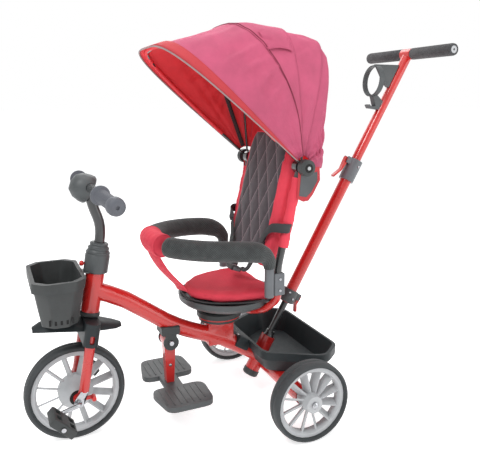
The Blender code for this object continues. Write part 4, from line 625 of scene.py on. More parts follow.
def box_map(obj):
    """A map in metres from the direction that each face looks."""
    mesh = obj.data
    layer = mesh.uv_layers.get("UVMap") or mesh.uv_layers.new(name="UVMap")
    for face in mesh.polygons:
        normal = face.normal
        flat = max(range(3), key=lambda i: abs(normal[i]))
        for loop in face.loop_indices:
            co = mesh.vertices[mesh.loops[loop].vertex_index].co
            layer.data[loop].uv = [co[i] for i in range(3) if i != flat]


def padded_cover(node, shrink, cap, shape=None):
    """A stuffed cover in the place of a CAD node, inflated and smoothed."""
    cover = copy_node(node, node + "_cover", shrink)
    swell(cover, cap)
    smoother = cover.modifiers.new("smoother", "SUBSURF")
    smoother.levels = 1
    smoother.render_levels = 1
    bake_modifiers(cover)
    if shape:
        shape(cover)
    box_map(cover)
    cover.data.shade_smooth()
    dress(cover, "seat_fabric")
    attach(cover, "seat")
    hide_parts(node)


# Canopy

HALF_FRONT = 0.1795
HALF_MIDDLE = 0.1690
HALF_HOOD = 0.1590
# Each table pairs an angle ahead of upright, in degrees, with the arch's height there
FRONT_TABLE = [(50, 0.456), (44, 0.430), (38, 0.412), (30, 0.394), (17, 0.370), (4, 0.3520)]
MIDDLE_TABLE = [(8, 0.3500), (-3, 0.3415), (-14, 0.3370)]
HOOD_TABLE = [(-9, 0.3345), (-14, 0.3335), (-20, 0.312), (-28, 0.226), (-38, 0.153),
              (-60, 0.106), (-97, 0.092)]
# Where each sheet's rear edge draws in to the next one: first angle, last angle, how far
DRAWN_EDGES = {HALF_FRONT: (13.0, 4.0, 0.0072), HALF_MIDDLE: (-4.0, -14.0, 0.0070)}
# Name, table, half width, body, sag, folds, depth of the creases, CAD node
SHEETS = (("canopy_back_cloth", HOOD_TABLE, HALF_HOOD, "seat", 0.002, 4, 0.0040, "canopy_hood"),
          ("canopy_top_cloth", MIDDLE_TABLE, HALF_MIDDLE, "canopy_middle", 0.001, 2, 0.0012,
           "canopy_middle"),
          ("canopy_front_cloth", FRONT_TABLE, HALF_FRONT, "canopy_front", 0.006, 5, 0.0046,
           "canopy_front"))
# Creases pulled from the hubs: place in radians from the hub, slope, depth
PULLS = ((0.16, 0.34, 0.9), (0.27, 0.30, 1.0), (0.40, 0.42, 0.8), (0.56, 0.22, 0.6),
         (0.74, 0.30, 0.5))
CLOTH_INSET = 0.0012
HUB_CLEAR = 0.030
CLOTH_COLUMNS = 220
LINE_STEPS = 60
CLOTH_ROW_DEGREES = 1.5
SEAM_ANGLE = 22.5
TAPE_ANGLE = 20.5
TAPE_INSET = 0.0072


def reach_at(table, angle):
    """The arch's height at an angle, read between the table's steps."""
    for (a, low), (b, high) in zip(table, table[1:]):
        if a >= angle >= b:
            share = (a - angle) / (a - b)
            return low + (high - low) * share
    return table[-1][1] if angle < table[-1][0] else table[0][1]


def canopy_point(angle, turn, half, reach, inset=0.0):
    """A point on the boxy arch at an angle ahead of upright, by its turn from hub to hub."""
    lean = math.radians(angle)
    across = math.cos(turn)
    y = -(half - inset) * math.copysign(abs(across) ** 0.5, across)
    away = (reach - inset) * abs(math.sin(turn)) ** 0.5
    return HUB + Vector((-away * math.sin(lean), y, away * math.cos(lean)))


def inward_at(turn, half, reach, angle):
    """The arch's own inward direction at a turn from hub to hub."""
    lean = math.radians(angle)
    side = math.copysign(abs(math.cos(turn)) ** 1.5 / half, math.cos(turn))
    out = abs(math.sin(turn)) ** 1.5 / reach
    return Vector((out * math.sin(lean), side, -out * math.cos(lean))).normalized()


def drawn_half(half, angle):
    """The sheet's half width, drawn in softly towards its rear edge."""
    first, last, depth = DRAWN_EDGES.get(half, (0.0, -90.0, 0.0))
    share = min(1.0, max(0.0, (first - angle) / (first - last)))
    return half - depth * share * share * (3 - 2 * share)


def hump(angle, up):
    """The front sheet stands proud over its tape at the top."""
    return 0.011 * up ** 2 * math.exp(-((angle - 20.0) / 6.5) ** 2)


def hub_to_hub(reach, steps, clear=HUB_CLEAR):
    """Turns from one hub to the other, each end a little clear of its hub."""
    start = math.asin(min(0.9, (clear / reach) ** 2))
    return [start + (math.pi - 2 * start) * k / steps for k in range(steps + 1)]


def arch_line(angle, half, reach, inset, clear=HUB_CLEAR):
    """A plain arch of the canopy, from hub to hub."""
    return [canopy_point(angle, turn, half, reach, inset)
            for turn in hub_to_hub(reach, LINE_STEPS, clear)]


def leaning_line(angle):
    """A seam that leaves the hub upright and leans ahead towards the top."""
    line = []
    for turn in hub_to_hub(0.37, LINE_STEPS):
        at = angle * math.sqrt(math.sin(turn))
        reach = reach_at(FRONT_TABLE, at) + hump(at, math.sin(turn))
        line.append(canopy_point(at, turn, HALF_FRONT, reach))
    return line


def lay_on(cloth, line, out):
    """Lays a line on a cloth's outer side, a small distance out."""
    laid = []
    for spot in line:
        hit, at, normal, index = cloth.closest_point_on_mesh(spot)
        if not hit:
            raise RuntimeError(f"{cloth.name} has no surface near {spot}")
        laid.append(at + normal * out)
    return laid


def cloth_relief(turn, share, folds, relief, away):
    """How far the cloth stands in from its arch: creases, drumming and pulls at the hubs."""
    up = math.sin(turn)
    middle = math.sin(math.pi * share)
    crease = math.sin(share * folds * math.pi * 2 + 1.3 * math.sin(turn * 3))
    crease += 0.6 * math.sin(share * folds * 9.4 - 4.1 * turn + 1.7)
    crease *= relief * 0.30 * (0.30 + 0.70 * (1 - up ** 2)) * away * middle
    drum = 0.0014 * math.sin(turn * 9 + share * 5) * up * middle
    drum += 0.0009 * math.sin(turn * 23 - share * 11) * middle
    near = min(turn, math.pi - turn)
    pull = 0.0
    for at, slope, deep in PULLS:
        gap = (near - at - slope * (share - 0.45)) / 0.030
        pull += deep * math.exp(-gap * gap) * (1.0 + 0.5 * math.sin(9 * share + 7 * at))
    ends = math.sin(math.pi * min(1.0, max(0.0, (share - 0.10) / 0.75)))
    return crease + drum - relief * 1.5 * pull * max(0.0, ends) ** 2


def canopy_cloth(name, table, half, body, sag, folds, relief, node, thickness):
    """One sector of the canopy as a single curved sheet with creases from the hubs."""
    first = table[0][0]
    last = table[-1][0]
    count = max(10, round((first - last) / CLOTH_ROW_DEGREES))
    rows = []
    for r in range(count + 1):
        share = r / count
        angle = first + (last - first) * share
        reach = reach_at(table, angle)
        row = []
        for turn in hub_to_hub(reach, CLOTH_COLUMNS):
            up = math.sin(turn)
            swelled = reach + (hump(angle, up) if half == HALF_FRONT else 0.0)
            spot = canopy_point(angle, turn, drawn_half(half, angle), swelled)
            deep = cloth_relief(turn, share, folds, relief, (spot - HUB).length / reach)
            hang = sag * math.sin(math.pi * share) * (0.35 + 0.65 * up)
            inward = (Vector((HUB.x, spot.y * 0.55, HUB.z)) - spot).normalized()
            row.append(spot + inward * (hang + CLOTH_INSET)
                       + inward_at(turn, half, swelled, angle) * deep)
        rows.append(row)
    bm = bmesh.new()
    strip(bm, rows)
    bm.normal_update()
    bm.faces.ensure_lookup_table()
    top = bm.faces[(count // 2) * CLOTH_COLUMNS + CLOTH_COLUMNS // 2]
    if top.normal.dot(top.calc_center_median() - HUB) < 0:
        bmesh.ops.reverse_faces(bm, faces=bm.faces)
    area = sum(face.calc_area() for face in bm.faces)
    cloth = new_object(name, bm, "canopy_fabric", body)
    # The inner side gets the lining's colour with its painted light.
    cloth.data.materials.append(MATERIALS["canopy_lining_painted_light"])
    thicken(cloth, "cloth thickness", thickness).material_offset = 1
    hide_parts(node)
    return cloth


def build_front_edge():
    """The front sheet's hem, the tunnel round its bow and the piping on its edge."""
    bm = bmesh.new()
    strip(bm, [arch_line(angle, HALF_FRONT, reach_at(FRONT_TABLE, angle), -0.0006)
               for angle in (49.9, 48.6, 47.3, 46.2)])
    hem = new_object("canopy_front_hem", bm, "hem_fabric", "canopy_front")
    thicken(hem, "hem thickness", 0.0016)
    bow = arch_line(48.5, 0.1728, reach_at(FRONT_TABLE, 48.5) - 0.0068, 0.0)
    tube("canopy_front_tunnel", bow[1:-1], 0.0050, "canopy_lining_painted_light", "canopy_front", 12)
    edge = arch_line(50.2, HALF_FRONT, FRONT_TABLE[0][1], 0.0005)
    tube("canopy_front_piping", edge, 0.0020, "edge_piping", "canopy_front", 10)


def build_seams(front):
    """The leaning seam with its stitches, and the tape inside under it."""
    for name, offset, radius in (("canopy_seam_front", 0.0, 0.0012),
                                 ("canopy_seam_stitch", 1.2, 0.0005)):
        line = lay_on(front, leaning_line(SEAM_ANGLE + offset), 0.0007)
        tube(name, line, radius, "seam_thread", "canopy_front", 8)
    reach = reach_at(FRONT_TABLE, TAPE_ANGLE)
    line = arch_line(TAPE_ANGLE, HALF_FRONT, reach, TAPE_INSET, clear=0.034)
    lean = math.radians(TAPE_ANGLE)
    ribbon("canopy_inner_tape", line, 0.013, 0.0016,
                   Vector((-math.cos(lean), 0, -math.sin(lean))), "dark_band", "canopy_front")


def build_roof_flap(front, thickness):
    """A small vent flap, sewn along its upper edge and lying on the front sheet."""
    rows = []
    for k in range(17):
        angle = 5.5 + 13.0 * k / 16
        lift = 0.0050 * math.sin(math.pi * k / 16) ** 0.5
        line = [canopy_point(angle, math.radians(40 + 24 * i / 14), HALF_FRONT,
                             reach_at(FRONT_TABLE, angle)) for i in range(15)]
        rows.append([spot + (spot - HUB).normalized() * lift * (1 - (i / 14) ** 2)
                     for i, spot in enumerate(lay_on(front, line, 0.0014))])
    bm = bmesh.new()
    strip(bm, rows)
    area = sum(face.calc_area() for face in bm.faces)
    cover = new_object("canopy_roof_flap", bm, "canopy_fabric", "canopy_front")
    thicken(cover, "cloth thickness", thickness, 1.0)


def build_hub_flaps():
    """Small grey mesh gussets with a red binding behind each canopy hub."""
    inner = [(0.016, 0.672), (0.063, 0.675), (0.0635, 0.652), (0.046, 0.624), (0.032, 0.612),
             (0.011, 0.616)]
    outer = [(0.0085, 0.684), (0.0700, 0.688), (0.0722, 0.654), (0.0520, 0.618),
             (0.0385, 0.602), (0.0234, 0.6005), (0.0057, 0.609)]
    for side, word in SIDES:
        flap("hub_gusset_binding_" + word, outer, "hem_fabric", side * 0.1662, "seat", 0.0014)
        flap("hub_gusset_mesh_" + word, inner, "mid_fabric", side * 0.1672, "seat", 0.0012)


def build_canopy(thickness):
    """The three sheets and all that is sewn on them."""
    sheets = {sheet[0]: canopy_cloth(*sheet, thickness) for sheet in SHEETS}
    front = sheets["canopy_front_cloth"]
    build_front_edge()
    build_seams(front)
    build_roof_flap(front, thickness)
    build_hub_flaps()


# Seat and backrest

PANEL_LOW = 0.018
PANEL_HIGH = 0.362
PANEL_EDGE = 0.012
PANEL_ROWS = 56
PANEL_COLUMNS = 28
CUSHION_HALF = [(-0.243, 0.022), (-0.232, 0.052), (-0.198, 0.092), (-0.130, 0.121),
                (-0.070, 0.128), (-0.030, 0.124), (-0.018, 0.100)]


def back_point(y, s, out=0.0):
    """A point on the backrest's plane: y across, s up its length, out towards the child."""
    foot = Vector((HUB.x - (HUB.z - 0.008 - 0.410) * math.tan(BACK_LEAN), 0, 0.410))
    up = Vector((math.sin(BACK_LEAN), 0, math.cos(BACK_LEAN)))
    ahead = Vector((-math.cos(BACK_LEAN), 0, math.sin(BACK_LEAN)))
    return foot + up * s + ahead * out + Vector((0, y, 0))


def panel_half(s):
    """Half width of the quilted panel at a height on the backrest."""
    share = min(1.0, max(0.0, s / 0.355))
    body = 0.106 + 0.004 * math.sin(math.pi * share)
    if share > 0.80:
        body *= math.sqrt(max(0.0, 1 - ((share - 0.80) / 0.20) ** 2)) * 0.45 + 0.55
    if share < 0.08:
        body *= 0.86 + 0.14 * share / 0.08
    return body


def build_quilt(width, height):
    """The quilted panel, puffed between its stitches, and the piping round it."""
    rows = []
    maps = []
    for r in range(PANEL_ROWS + 1):
        s = PANEL_LOW + (PANEL_HIGH - PANEL_LOW) * r / PANEL_ROWS
        half = panel_half(s - PANEL_LOW)
        ends = min(1.0, (s - PANEL_LOW) / PANEL_EDGE, (PANEL_HIGH - s) / PANEL_EDGE)
        row = []
        for k in range(PANEL_COLUMNS + 1):
            u = -1 + 2 * k / PANEL_COLUMNS
            y = half * u
            edge = min(1.0, (1 - abs(u)) * half / PANEL_EDGE)
            pillow = math.sqrt(max(0.0, min(edge, ends)))
            a = abs(math.sin(math.pi * (y / width + s / height)))
            b = abs(math.sin(math.pi * (y / width - s / height)))
            quilted = 0.0022 * math.sqrt(min(a, b))
            row.append(back_point(y, s, 0.0235 + 0.0035 * pillow + quilted * pillow))
        rows.append(row)
        maps.append([(half * (-1 + 2 * k / PANEL_COLUMNS), s) for k in range(PANEL_COLUMNS + 1)])
    bm = bmesh.new()
    strip(bm, rows, maps=maps)
    bmesh.ops.recalc_face_normals(bm, faces=bm.faces)
    new_object("backrest_quilt", bm, "quilted_panel", "seat")
    outline = rows[0][::2] + [row[-1] for row in rows[2:-1:2]]
    outline += rows[-1][::-2] + [row[0] for row in rows[-3:0:-2]]
    outline.append(outline[0])
    tube("backrest_piping", outline, 0.0019, "seat_fabric", "seat", 8)


def build_sleeves():
    """The cloth sleeves round the back tubes, with a lip at each end."""
    lip = ring_section(0.0112, 0.0132, -0.0026, 0.0026, 0.0006)
    for side, word in SIDES:
        foot = Vector((ARM_X, side * 0.150, 0.420))
        head = Vector((HUB.x, side * 0.150, 0.681))
        line = [foot.lerp(head, 0.24 + 0.68 * k / 22) for k in range(23)]
        radii = [0.0130 + 0.0008 * math.sin(k * 0.9) + 0.0005 * math.sin(k * 2.3)
                 for k in range(23)]
        tube("backrest_sleeve_" + word, line, radii, "seat_fabric", "seat", 24)
        for index, spot in enumerate((line[1], line[-2])):
            lathe(f"backrest_sleeve_lip_{word}_{index}", lip, spot, head - foot,
                          "seat_fabric", "seat", 32)


def dish_cushion(cushion):
    """Presses a shallow dish into the cushion's top and keeps it off the pan."""
    low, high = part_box("seat_cushion")
    for vertex in cushion.data.vertices:
        x = (vertex.co.x - SWIVEL_X + 0.01) / 0.10
        y = vertex.co.y / 0.12
        if vertex.co.z > (low.z + high.z) / 2:
            vertex.co.z -= 0.004 * max(0.0, 1 - x * x - y * y)
        vertex.co.z = max(vertex.co.z, low.z + 0.0002)


def build_cushion():
    """The seat's stuffed cover and the dark welt round its foot."""
    padded_cover("seat_cushion", shrink=0.003, cap=0.005, shape=dish_cushion)
    points = CUSHION_HALF + [(x, -y) for x, y in reversed(CUSHION_HALF)]
    points.append(points[0])
    ring = [Vector((AXLE_X + p.x, p.y, 0.337))
            for p in flowing([(x, y, 0.0) for x, y in points], 5)]
    tube("seat_cushion_welt", ring, 0.0028, "dark_band", "seat", 8)


# Harness and safety bar

BUCKLE = Vector((AXLE_X - 0.098, 0, 0.398))
# A waist strap's way round the bolster: across, up the backrest, out from it
STRAP_WRAP = ((0.1560, 0.128, -0.012), (0.1655, 0.126, 0.004), (0.1560, 0.123, 0.0190),
              (0.134, 0.117, 0.0335), (0.112, 0.100, 0.0350), (0.094, 0.072, 0.0353))
BAR_X = AXLE_X - 0.065
# Each half of the bar from its hinge to the middle: along from the rear axle, across, up
BAR_PLAN = ((-0.065, 0.155, 0.4332), (-0.066, 0.1555, 0.444), (-0.069, 0.1565, 0.455),
            (-0.086, 0.159, 0.472), (-0.120, 0.164, 0.483), (-0.175, 0.158, 0.488),
            (-0.235, 0.137, 0.491), (-0.285, 0.100, 0.493), (-0.315, 0.055, 0.494),
            (-0.323, 0.0, 0.494))
# Shares of the foam's radius over its rounded end
FOAM_END = (24.5 / 26, 18 / 26, 10 / 26)
COVER_HALF = 0.0605
LEG_STRAP = ((-0.3265, 0, 0.467), (-0.318, 0, 0.447), (-0.300, 0, 0.417), (-0.276, 0, 0.388),
             (-0.256, 0, 0.366), (-0.2475, 0, 0.3515))


def build_harness(width):
    """Waist straps that come round the bolsters to a side release buckle."""
    for side, word in SIDES:
        wrap = [back_point(side * y, s, out) for y, s, out in STRAP_WRAP]
        wrap += [Vector((BUCKLE.x + 0.020, side * 0.056, 0.413)),
                 Vector((BUCKLE.x + 0.010, side * 0.018, BUCKLE.z + 0.001))]
        path = flowing(wrap, 8)
        start = Vector((0.22, 0.10 * side, 0.97))
        end = Vector((0.10, 0.95, 0.20 * side))
        across = [start.lerp(end, (k / (len(path) - 1)) ** 1.5) for k in range(len(path))]
        ribbon("harness_strap_" + word, path, width, 0.0022, across, "webbing", "seat")
        size = (0.009, width + 0.006, 0.0055)
        rounded_block("harness_slider_" + word, path[-14], size, "black_plastic", "seat",
                              0.0014, path[-12] - path[-16], across[-14])
    turn = Matrix.Rotation(math.radians(20), 3, "Y")
    ahead = turn @ Vector((1, 0, 0))
    body = rounded_block("harness_buckle", BUCKLE, (0.032, 0.040, 0.0125), "black_plastic",
                         "seat", 0.004, ahead)
    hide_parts("harness")
    for side, word in SIDES:
        rounded_block("harness_prong_" + word, BUCKLE + Vector((0, side * 0.0215, 0)),
                              (0.020, 0.006, 0.0105), "grey_plastic", "seat", 0.0024, ahead)
    rounded_block("harness_buckle_plate", BUCKLE + turn @ Vector((0, 0, 0.0066)),
                          (0.018, 0.022, 0.0016), "grey_plastic", "seat", 0.0007, ahead)


def bar_line(side):
    return flowing([(AXLE_X + x, side * y, z) for x, y, z in BAR_PLAN], 8)


def build_safety_bar(foam_radius):
    """Each half's foam, narrow at the hinge and rounded at its end, and its hinge pin."""
    for side, word in SIDES:
        name = "safety_bar_" + word
        # The left half ends at the cover and the right half runs on under it
        end = 0.066 if word == "left" else 0.040
        path = [p for p in bar_line(side) if abs(p.y) > end]
        radii = [foam_radius * min(1.0, 0.56 + 0.44 * run_of(path[:i + 1]) / 0.065)
                 for i in range(len(path))]
        radii[-2:] = [foam_radius * share for share in FOAM_END]
        path.append(path[-1] + (path[-1] - path[-2]).normalized() * 0.0015)
        foam_piece = tube(name + "_foam", path, radii, "bar_foam", name, 28)
        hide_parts(name)
        pin = [(0, 0.358), (0.008, 0.358), (0.008, 0.4330), (0, 0.4330)]
        lathe(name + "_pin", pin, (BAR_X, side * 0.155, 0), (0, 0, 1), "chrome", name,
                      24)


def build_bar_cover():
    """The red sleeve over the front of the bar, and the strap between the legs."""
    body = "safety_bar_right"
    whole = [p for p in bar_line(1) if p.y < COVER_HALF and p.x < AXLE_X - 0.1]
    whole += [p for p in reversed(bar_line(-1)) if -COVER_HALF < p.y < -0.0005]
    radii = [0.0292 + 0.0007 * math.sin(i * 1.9) for i in range(len(whole))]
    radii[0] = 0.0278
    radii[-1] = 0.0278
    sleeve = tube("bar_cover_sleeve", whole, radii, "seat_fabric", body, 32)
    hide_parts("bar_cover")
    hem = ring_section(0.0262, 0.0300, -0.0040, 0.0, 0.0004)
    for index, (spot, nearer) in enumerate(((whole[0], whole[1]), (whole[-1], whole[-2]))):
        lathe(f"bar_cover_hem_{index}", hem, spot, (spot - nearer).normalized(),
                      "seat_fabric", body, 40)
    line = flowing([(AXLE_X + x, y, z) for x, y, z in LEG_STRAP])
    ribbon("crotch_strap", line, 0.054, 0.0034, (-0.30, 1, 0), "seat_fabric", body)
    for offset, word in ((-0.0240, "a"), (0.0240, "b")):
        seam = [p + Vector((-0.30 * offset - 0.0012, offset, 0.0014)) for p in line]
        tube("crotch_strap_seam_" + word, seam, 0.0008, "dark_band", body, 6)


# Wheels

# A tyre's half section: share of the depth outside the rim, share of the half width
TYRE_SIDE = ((0.20, 0.93), (0.27, 0.90), (0.33, 0.96), (0.52, 0.99), (0.72, 0.92),
             (0.88, 0.74), (0.965, 0.50))
GROOVE = 0.0010


def build_tyre(name, centre, radius, width, rim_radius, body, node):
    """A foam tyre: rounded crown, a groove beside the rim and a shallow one round the tread."""
    depth = radius - rim_radius
    half = width / 2
    profile = [(rim_radius + 0.0003, -0.62 * half), (rim_radius + 0.0010, -0.80 * half)]
    profile += [(rim_radius + out * depth, -side * half) for out, side in TYRE_SIDE]
    profile += [(radius, -0.36 * half), (radius, -0.16 * half),
                (radius - GROOVE, -0.12 * half), (radius - GROOVE, -0.04 * half)]
    profile += [(r, -h) for r, h in reversed(profile)]
    profile.append(profile[0])
    tyre = lathe(name, profile, centre, (0, 1, 0), "tyre_rubber", body, 112)
    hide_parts(node)


def rear_centre(side):
    return REAR_AXLE + Vector((0, side * HALF_TRACK, 0))


def build_wheels():
    """The three tyres, the front hub's dark ring of painted shade in its dish and the rear hubs'
    rings.
    """
    build_tyre("front_tyre_ring", FRONT_AXLE, 0.125, 0.040, 0.109, "front_wheel", "front_tyre")
    dish = [(0.0095, 0.0432), (0.0200, 0.0432), (0.0208, 0.0424), (0.0200, 0.0415),
            (0.0095, 0.0415), (0.0095, 0.0432)]
    ring = ring_section(0.0105, 0.0205, 0.0262, 0.0250, 0.0007)
    for side, word in SIDES:
        build_tyre("rear_tyre_ring_" + word, rear_centre(side), 0.105, 0.046, 0.0925,
                   "rear_wheel_" + word, "rear_tyre_" + word)
    for side, word in SIDES:
        # Painted shade: a thin near-black ring where the front hub is dished.
        lathe("front_hub_dish_shade_" + word, dish, FRONT_AXLE, (0, side, 0), "painted_hollow_shade",
                      "front_wheel", 40)
        lathe("rear_hub_ring_" + word, ring, rear_centre(side), (0, side, 0),
                      "rim_plastic", "rear_wheel_" + word, 40)


# Hand grips and foam

RIB_PITCH = 0.0058
GRIP_END = [(0.0186, 0.084), (0.0202, 0.088), (0.0204, 0.098), (0.0190, 0.105),
            (0.0140, 0.1078), (0.0045, 0.1080), (0.0040, 0.1050), (0.0, 0.1048)]
PUSH_FOAM = [(0.0128, 0.0), (0.0155, 0.0), (0.0169, 0.0025), (0.0170, 0.158),
             (0.0158, 0.1630), (0.0128, 0.1636), (0.0, 0.1638)]
PUSH_END = [(0.0030, 0.1638), (0.0100, 0.1638), (0.0104, 0.1630), (0.0, 0.1630)]


def grip_aim(side):
    """The way a hand grip points: swept back and falling a little."""
    sweep = math.radians(10)
    fall = math.radians(5)
    return STEER_TURN @ Vector((math.sin(sweep) * math.cos(fall),
                                side * math.cos(sweep) * math.cos(fall), -math.sin(fall)))


def build_grips():
    """Ribbed hand grips with a wide inner flange, and the push handle's foam."""
    profile = [(0.0118, 0.0), (0.0222, 0.0), (0.0228, 0.002), (0.0226, 0.005), (0.0180, 0.008)]
    z = 0.010
    while z < 0.078:
        profile += [(0.0146, z), (0.0160, z + 0.0010), (0.0160, z + 0.0036),
                    (0.0146, z + 0.0046)]
        z += RIB_PITCH
    profile += GRIP_END
    for side, word in SIDES:
        grip = lathe("hand_grip_" + word, profile, steer_point(-0.045, side * 0.150, 0.313),
                     grip_aim(side), "grip_rubber", "steering", 40)
        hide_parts("handlebar_grip_" + word)
        start = pole_point(0, side * 0.022, 1.0313)
        sleeve = lathe("push_foam_" + word, PUSH_FOAM, start, (0, side, 0), "grip_foam",
                       "push_handle", 40)
        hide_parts("push_grip_" + word)
        lathe("push_end_" + word, PUSH_END, start, (0, side, 0), "rim_plastic",
                      "push_handle", 28)


# Small fittings

SCREWS = (
    ("basket_saddle_screw", (AXLE_X - 0.088, -0.010, 0.2015), (0.45, 0, 0.9), 0.0045, "frame"),
    ("clamp_screw_a", pole_point(0.004, -0.0236, 0.222), (0, -1, 0), 0.0036, "frame"),
    ("clamp_screw_b", pole_point(-0.012, -0.0200, 0.236), (-0.4, -1, 0), 0.0036, "frame"),
    ("collar_screw", pole_point(0.006, -0.0220, 0.655), (0.2, -1, 0), 0.0040, "frame"),
    ("footrest_screw", (AXLE_X - 0.290, -0.0122, 0.150), (0, -1, 0), 0.0045, "footrest"),
)


def screw_head(name, at, aim, radius, body):
    """A domed head with a shallow socket."""
    profile = [(0, 0.0012), (radius * 0.35, 0.0012), (radius * 0.40, 0.0022),
               (radius * 0.80, 0.0020), (radius, 0.0006), (radius, -0.0006), (0, -0.0006)]
    lathe(name, profile, at, aim, "chrome", body, 20)


def build_fittings():
    """The canopy hubs' eyes, near-black discs of painted shade round a light dot, and the screw
    heads.
    """
    eye = [(0.0, 0.0006), (0.0105, 0.0006), (0.0115, -0.0004), (0.0, -0.0004)]
    dot = [(0.0, 0.0012), (0.0045, 0.0010), (0.0050, 0.0), (0.0, 0.0)]
    for side, word in SIDES:
        out = (0, side, 0)
        # Painted shade: a near-black disc in each hub's eye.
        lathe("canopy_hub_eye_shade_" + word, eye, (HUB.x, side * 0.1990, HUB.z), out,
                      "painted_hollow_shade", "seat", 32)
        lathe("canopy_hub_dot_" + word, dot, (HUB.x, side * 0.1993, HUB.z), out,
                      "rim_plastic", "seat", 24)
        screw_head("arm_bracket_screw_" + word, (ARM_X, side * 0.1636, 0.372), out, 0.0042, "seat")
        screw_head("arm_bracket_bolt_" + word, (ARM_X, side * 0.1636, 0.402), out, 0.0042, "seat")
    for screw in SCREWS:
        screw_head(*screw)


def build_basket_slot_shades():
    # Painted shade: five thin near-black blocks on the front basket where its slots open.
    for k, share in enumerate((-0.68, -0.35, 0.0, 0.35, 0.68)):
        place = Vector((AXLE_X - 0.572 + share * 0.038, -0.0886, 0.346))
        rounded_block(f"front_basket_slot_shade_{k}", place, (0.0052, 0.0016, 0.0150),
                              "painted_hollow_shade", "steering", 0.0006)


def build_boot_folds():
    """Rolls of the stem's rubber boot, smaller towards the top."""
    for k, (radius, height) in enumerate(((0.0300, 0.1515), (0.0266, 0.1625), (0.0232, 0.1730))):
        roll = [(radius - 0.0030, -0.0030), (radius - 0.0008, -0.0024), (radius, 0.0),
                (radius - 0.0008, 0.0024), (radius - 0.0030, 0.0030), (radius - 0.0030, -0.0030)]
        lathe(f"stem_boot_fold_{k}", roll, steer_point(0, 0, height), STEER_TURN.col[2],
                      "mid_plastic", "steering", 56)


def build_footrest_ridges():
    """Seven grip ridges across each plate, shorter at its rounded ends."""
    for side, word in SIDES:
        for k in range(7):
            near = 0.046
            far = 0.124 if k in (0, 6) else 0.133
            place = Vector((-0.246 + 0.0168 * k, side * (near + far) / 2, 0.0997))
            rounded_block(f"footrest_ridge_{word}_{k}", place,
                                  (0.0042, far - near, 0.0022), "mid_plastic", "footrest",
                                  0.0009)


def build_dropouts():
    """The bright plate and nut at each end of the front axle."""
    reach = 0.0132
    plate = [(-0.539 + reach * math.cos(a), 0.125 + reach * math.sin(a))
             for a in (math.radians(140 + 14 * k) for k in range(19))]
    plate += [(-0.5165, 0.1485), (-0.5345, 0.1515)]
    nut = [(0.0046, 0.0), (0.0074, 0.0), (0.0074, 0.0016), (0.0062, 0.0024), (0.0046, 0.0024),
           (0.0046, 0.0)]
    for side, word in SIDES:
        flap("dropout_plate_" + word, plate, "chrome", side * 0.0687, "steering", 0.0014)
        lathe("dropout_nut_" + word, nut, FRONT_AXLE + Vector((0, side * 0.0694, 0)),
                      (0, side, 0), "chrome", "steering", 6)


def build_swivel_ring():
    ring = ring_section(0.0560, 0.0586, 0.2662, 0.2694, 0.0004)
    lathe("swivel_ring", ring, (SWIVEL_X, 0, 0), (0, 0, 1), "red_plastic", "seat", 72)


# Finishes of the CAD pieces

FINISHES = {
    "paint_red": ("frame", "fork", "footrest_arm", "seat_frame", "pole_lower", "pole_upper"),
    "paint_black": ("stem", "back_tube_left", "back_tube_right", "middle_bow", "front_bow",
                    "pole_foot", "basket_bracket"),
    "chrome": ("crank_axle", "rear_axle", "footrest_bolt"),
    "black_plastic": ("frame_end_cap", "headset_cup", "pedal_left", "pedal_right",
                      "footrest_bracket", "turntable_base", "turntable_top",
                      "canopy_knob_left", "canopy_knob_right", "front_basket"),
    "deep_plastic": ("rear_basket", "fender"),
    "mid_plastic": ("handlebar_pad", "seat_pan", "footrest_plates", "pole_clamp",
                    "stem_cover", "cup_holder"),
    "grey_plastic": ("pole_collar", "arm_bracket_left", "arm_bracket_right"),
    "red_plastic": ("steering_lock_pin", "clutch_lever", "collar_lever", "clamp_lever"),
    "rim_plastic": ("front_rim", "rear_rim_left", "rear_rim_right"),
}


def finish_nodes():
    """Every CAD piece that shows gets its finish, welded and shaded smooth by angle."""
    for material, nodes in FINISHES.items():
        for node in nodes:
            obj = cad_node(node)
            dress(obj, material)
            weld = obj.modifiers.new("weld", "WELD")
            weld.merge_threshold = 0.00001
            obj.data.shade_smooth()
            split = obj.modifiers.new("edges", "EDGE_SPLIT")
            split.split_angle = math.radians(38)


# Studio

CAMERA_PITCH = math.radians(90 - 10.03)
CAMERA_YAW = math.radians(-24.03)
LIGHT_AIM = Vector((0, 0, 0.45))
# Name, place, size and share of the key lamp's power
LIGHTS = (("key", (-1.9, -1.5, 2.9), 1.0, 1.0), ("fill", (1.9, -1.8, 1.4), 2.0, 0.45),
          ("back", (0.4, 2.2, 2.4), 1.8, 0.6), ("top", (0.0, 0.0, 3.2), 2.2, 0.7))


def build_floor():
    shader = base_material("studio_floor", (0.90, 0.90, 0.90), 0.9)[1]
    shader["Emission Color"].default_value = (1, 1, 1, 1)
    shader["Emission Strength"].default_value = 0.66
    bm = bmesh.new()
    bmesh.ops.create_grid(bm, x_segments=1, y_segments=1, size=60.0)
    floor = new_object("studio_floor", bm, "studio_floor", None, smooth=False)
    floor.location = (0, 0, -0.0006)


def build_world(strength):
    """A soft sky that the camera and reflections see as white."""
    world = bpy.data.worlds.new("studio")
    bpy.context.scene.world = world
    world.use_nodes = True
    tree = world.node_tree
    tree.nodes.clear()
    rays = add_node(tree, "LightPath").outputs
    glow = add_node(tree, "Background", {"Color": (0.95, 0.97, 1.0, 1.0), "Strength": strength})
    white = add_node(tree, "Background", {"Color": (1, 1, 1, 1), "Strength": 1.0})
    total = math_node(tree, "ADD", rays["Is Camera Ray"], rays["Is Glossy Ray"])
    total = math_node(tree, "ADD", total, rays["Is Transmission Ray"])
    total = math_node(tree, "MINIMUM", total, 1.0)
    mix = add_node(tree, "MixShader", {0: total, 1: glow.outputs[0], 2: white.outputs[0]})
    add_node(tree, "OutputWorld", {"Surface": mix.outputs[0]})


